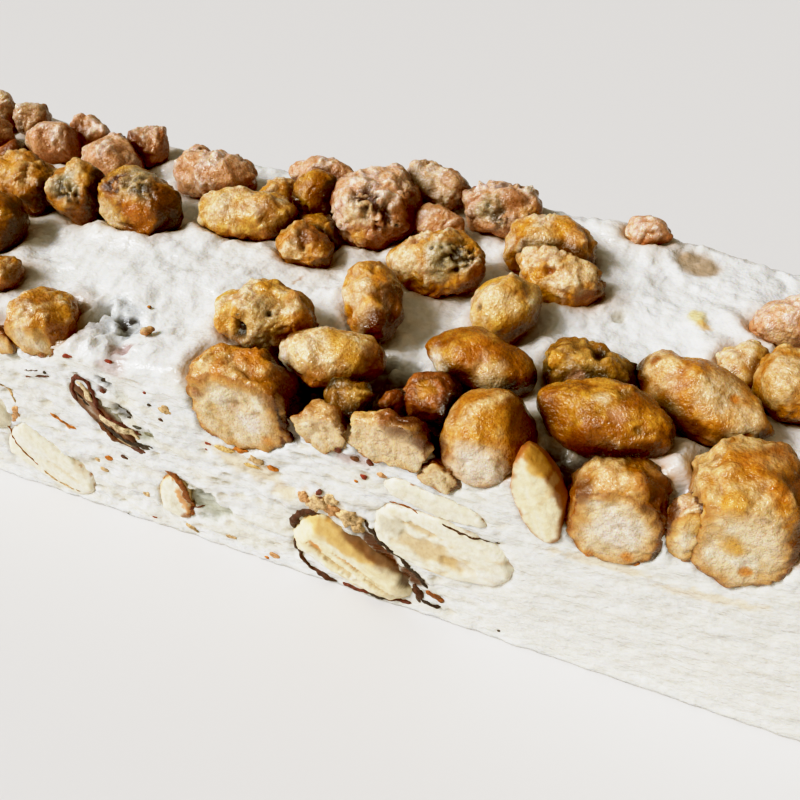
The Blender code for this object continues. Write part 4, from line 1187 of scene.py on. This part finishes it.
def strip_shape(strip, seed):
    """Points, faces and colours of one ragged strip."""
    path = np.array(strip.path, dtype=float)
    run = np.concatenate([[0], np.cumsum(np.linalg.norm(np.diff(path, axis=0), axis=1))])
    rings = max(4, round(run[-1] / STRIP_STEP))
    along = np.linspace(0, run[-1], rings)
    line = np.column_stack([np.interp(along, run, path[:, 0]), np.interp(along, run, path[:, 1])])
    line = smoothed(line, 3)
    way = np.gradient(line, axis=0)
    way /= np.linalg.norm(way, axis=1)[:, None]
    side = np.column_stack([-way[:, 1], way[:, 0]])
    spot = np.column_stack([along, np.full(rings, seed * PATTERNS[0]), np.zeros(rings)])
    taper = np.sqrt(np.clip(np.minimum(along, run[-1] - along) / strip.width, 0.08, 1))
    half = strip.width / 2 * taper * (1 + 0.7 * rough_noise(spot, 1.1, 2, 81))
    shift = 0.25 * strip.width * noise(spot, 0.9, 83)
    turn = np.arange(AROUND) * 2 * math.pi / AROUND
    points = np.empty((rings, AROUND, 3))
    sweep = half[:, None] * np.cos(turn) + shift[:, None]
    points[..., ::2] = line[:, None] + side[:, None] * sweep[..., None]
    level = smoothed(front_level(line), 4)
    points[..., 1] = level[:, None] - strip.thick * taper[:, None] * (np.sin(turn) * 0.5 - 0.05)
    points = points.reshape(-1, 3)
    points += 0.22 * noise_triple(points, 0.7, 84)
    corners = np.arange(rings * AROUND).reshape(rings, AROUND)
    faces = [(a, b, b + AROUND, a + AROUND)
             for ring in corners[:-1] for a, b in zip(ring, np.roll(ring, -1))]
    faces += [tuple(corners[0, ::-1]), tuple(corners[-1])]
    return points, faces, np.tile(FLESH[strip.colour], (len(points), 1))


def fleck_shape(fleck, seed):
    """Points, faces and colours of one uneven fleck."""
    mesh = ball((fleck.long, fleck.thick * 0.8, fleck.tall))
    points = points_of(mesh)
    points *= (1 + 0.8 * rough_noise(points + seed * PATTERNS[1], 0.8, 2, 87))[:, None]
    points[:, 0], points[:, 2] = turned(points[:, 0], points[:, 2], -fleck.tilt)
    level = front_level([(fleck.x, fleck.z)])[0]
    if fleck.thick > THICK_FLECK:
        level -= THICK_FLECK_OUT
    points += np.array((fleck.x, level, fleck.z))
    faces = [tuple(face.vertices) for face in mesh.polygons]
    bpy.data.meshes.remove(mesh)
    return points, faces, np.tile(FLESH[fleck.colour], (len(points), 1))


def joined(name, shapes):
    """One mesh made of several shapes with their painted colours."""
    faces = []
    start = 0
    for corners, sides, _ in shapes:
        faces += [tuple(int(corner) + start for corner in side) for side in sides]
        start += len(corners)
    mesh = bpy.data.meshes.new(name)
    mesh.from_pydata(np.concatenate([shape[0] for shape in shapes]) * MM, [], faces)
    paint(mesh, np.concatenate([shape[2] for shape in shapes]))
    return mesh


strips = [strip_shape(Strip(*row), order) for order, row in enumerate(STRIPS)]
add_piece("skin_strips", joined("skin_strips", strips), SKIN)
flecks = [fleck_shape(Fleck(*row), order) for order, row in enumerate(FLECKS)]
add_piece("flecks", joined("flecks", flecks), SKIN)


# ---------------------------------------------------------------- stage

FLOOR_REACH = 2.0       # metres
FLOOR_LEVEL = -0.0001
ROOM = (1, 0.92, 0.80, 1)
ROOM_STRENGTH = 0.22
LAMP_COLOUR = (0.985, 0.995, 1.0)
# name, strength, width in degrees, where it stands
LAMPS = (("window", 3.0, 32, (-0.68, -0.45, 0.66)), ("window pane", 0.85, 4, (-0.60, -0.40, 0.75)))
CAMERA_PLACE = (46.66, -91.2, 104.81)
CAMERA_LENS = 42.75

# how the picture is developed: light that shows black or white, and (light, shown) points between
BLACK = (0.004, 0.009, 0.011)
WHITE = 1.5
RESPONSE = ((0.12, 0.115), (0.35, 0.36), (0.60, 0.61), (0.80, 0.76), (1.0, 0.845), (1.2, 0.89), (1.5, 0.93))
BLUE_RESPONSE = ((0.02, 0.013), (0.05, 0.036), (0.10, 0.085), (0.17, 0.16), (0.30, 0.30), (0.60, 0.60))


def develop():
    """Deep blacks and gently rolled-off whites, as a camera gives them."""
    view = bpy.context.scene.view_settings
    view.view_transform = "Standard"
    view.use_curve_mapping = True
    response = view.curve_mapping
    response.black_level = BLACK
    response.white_level = (WHITE, WHITE, WHITE)
    curve = response.curves[3]
    curve.points[0].location = (0, 0)
    curve.points[-1].location = (1, RESPONSE[-1][1])
    for light, shown in RESPONSE[:-1]:
        curve.points.new(light / WHITE, shown)
    for light, shown in BLUE_RESPONSE:
        response.curves[2].points.new(light, shown)
    response.update()


def add_stage():
    """Floor, light and camera."""
    floor = bpy.data.meshes.new("floor")
    corners = [(x * FLOOR_REACH, y * FLOOR_REACH, FLOOR_LEVEL)
               for x, y in ((-1, -1), (1, -1), (1, 1), (-1, 1))]
    floor.from_pydata(corners, [], [(0, 1, 2, 3)])
    material = bpy.data.materials.new("floor")
    material.use_nodes = True
    shader = material.node_tree.nodes["Principled BSDF"]
    shader.inputs["Base Color"].default_value = (*srgb(230, 228, 227), 1)
    shader.inputs["Roughness"].default_value = 0.6
    floor.materials.append(material)
    thing = placed("floor", floor)

    world = bpy.data.worlds.new("room")
    world.use_nodes = True
    light = world.node_tree.nodes["Background"]
    light.inputs["Color"].default_value = ROOM
    light.inputs["Strength"].default_value = ROOM_STRENGTH
    bpy.context.scene.world = world

    for name, energy, angle, way in LAMPS:
        lamp = bpy.data.lights.new(name, "SUN")
        lamp.angle = math.radians(angle)
        lamp.energy = energy
        lamp.color = LAMP_COLOUR
        thing = placed(name, lamp)
        thing.location = way
        thing.rotation_euler = Vector(way).to_track_quat("Z", "Y").to_euler()

    lens = bpy.data.cameras.new("camera")
    lens.lens = CAMERA_LENS
    lens.sensor_width = 36
    lens.clip_start = 0.01
    lens.clip_end = 10
    camera = placed("camera", lens)
    turn = Matrix((Vector(RIGHT), Vector(UP), -Vector(FORWARD))).transposed().to_4x4()
    camera.matrix_world = Matrix.Translation(Vector(CAMERA_PLACE) * MM) @ turn
    bpy.context.scene.camera = camera


add_stage()
develop()
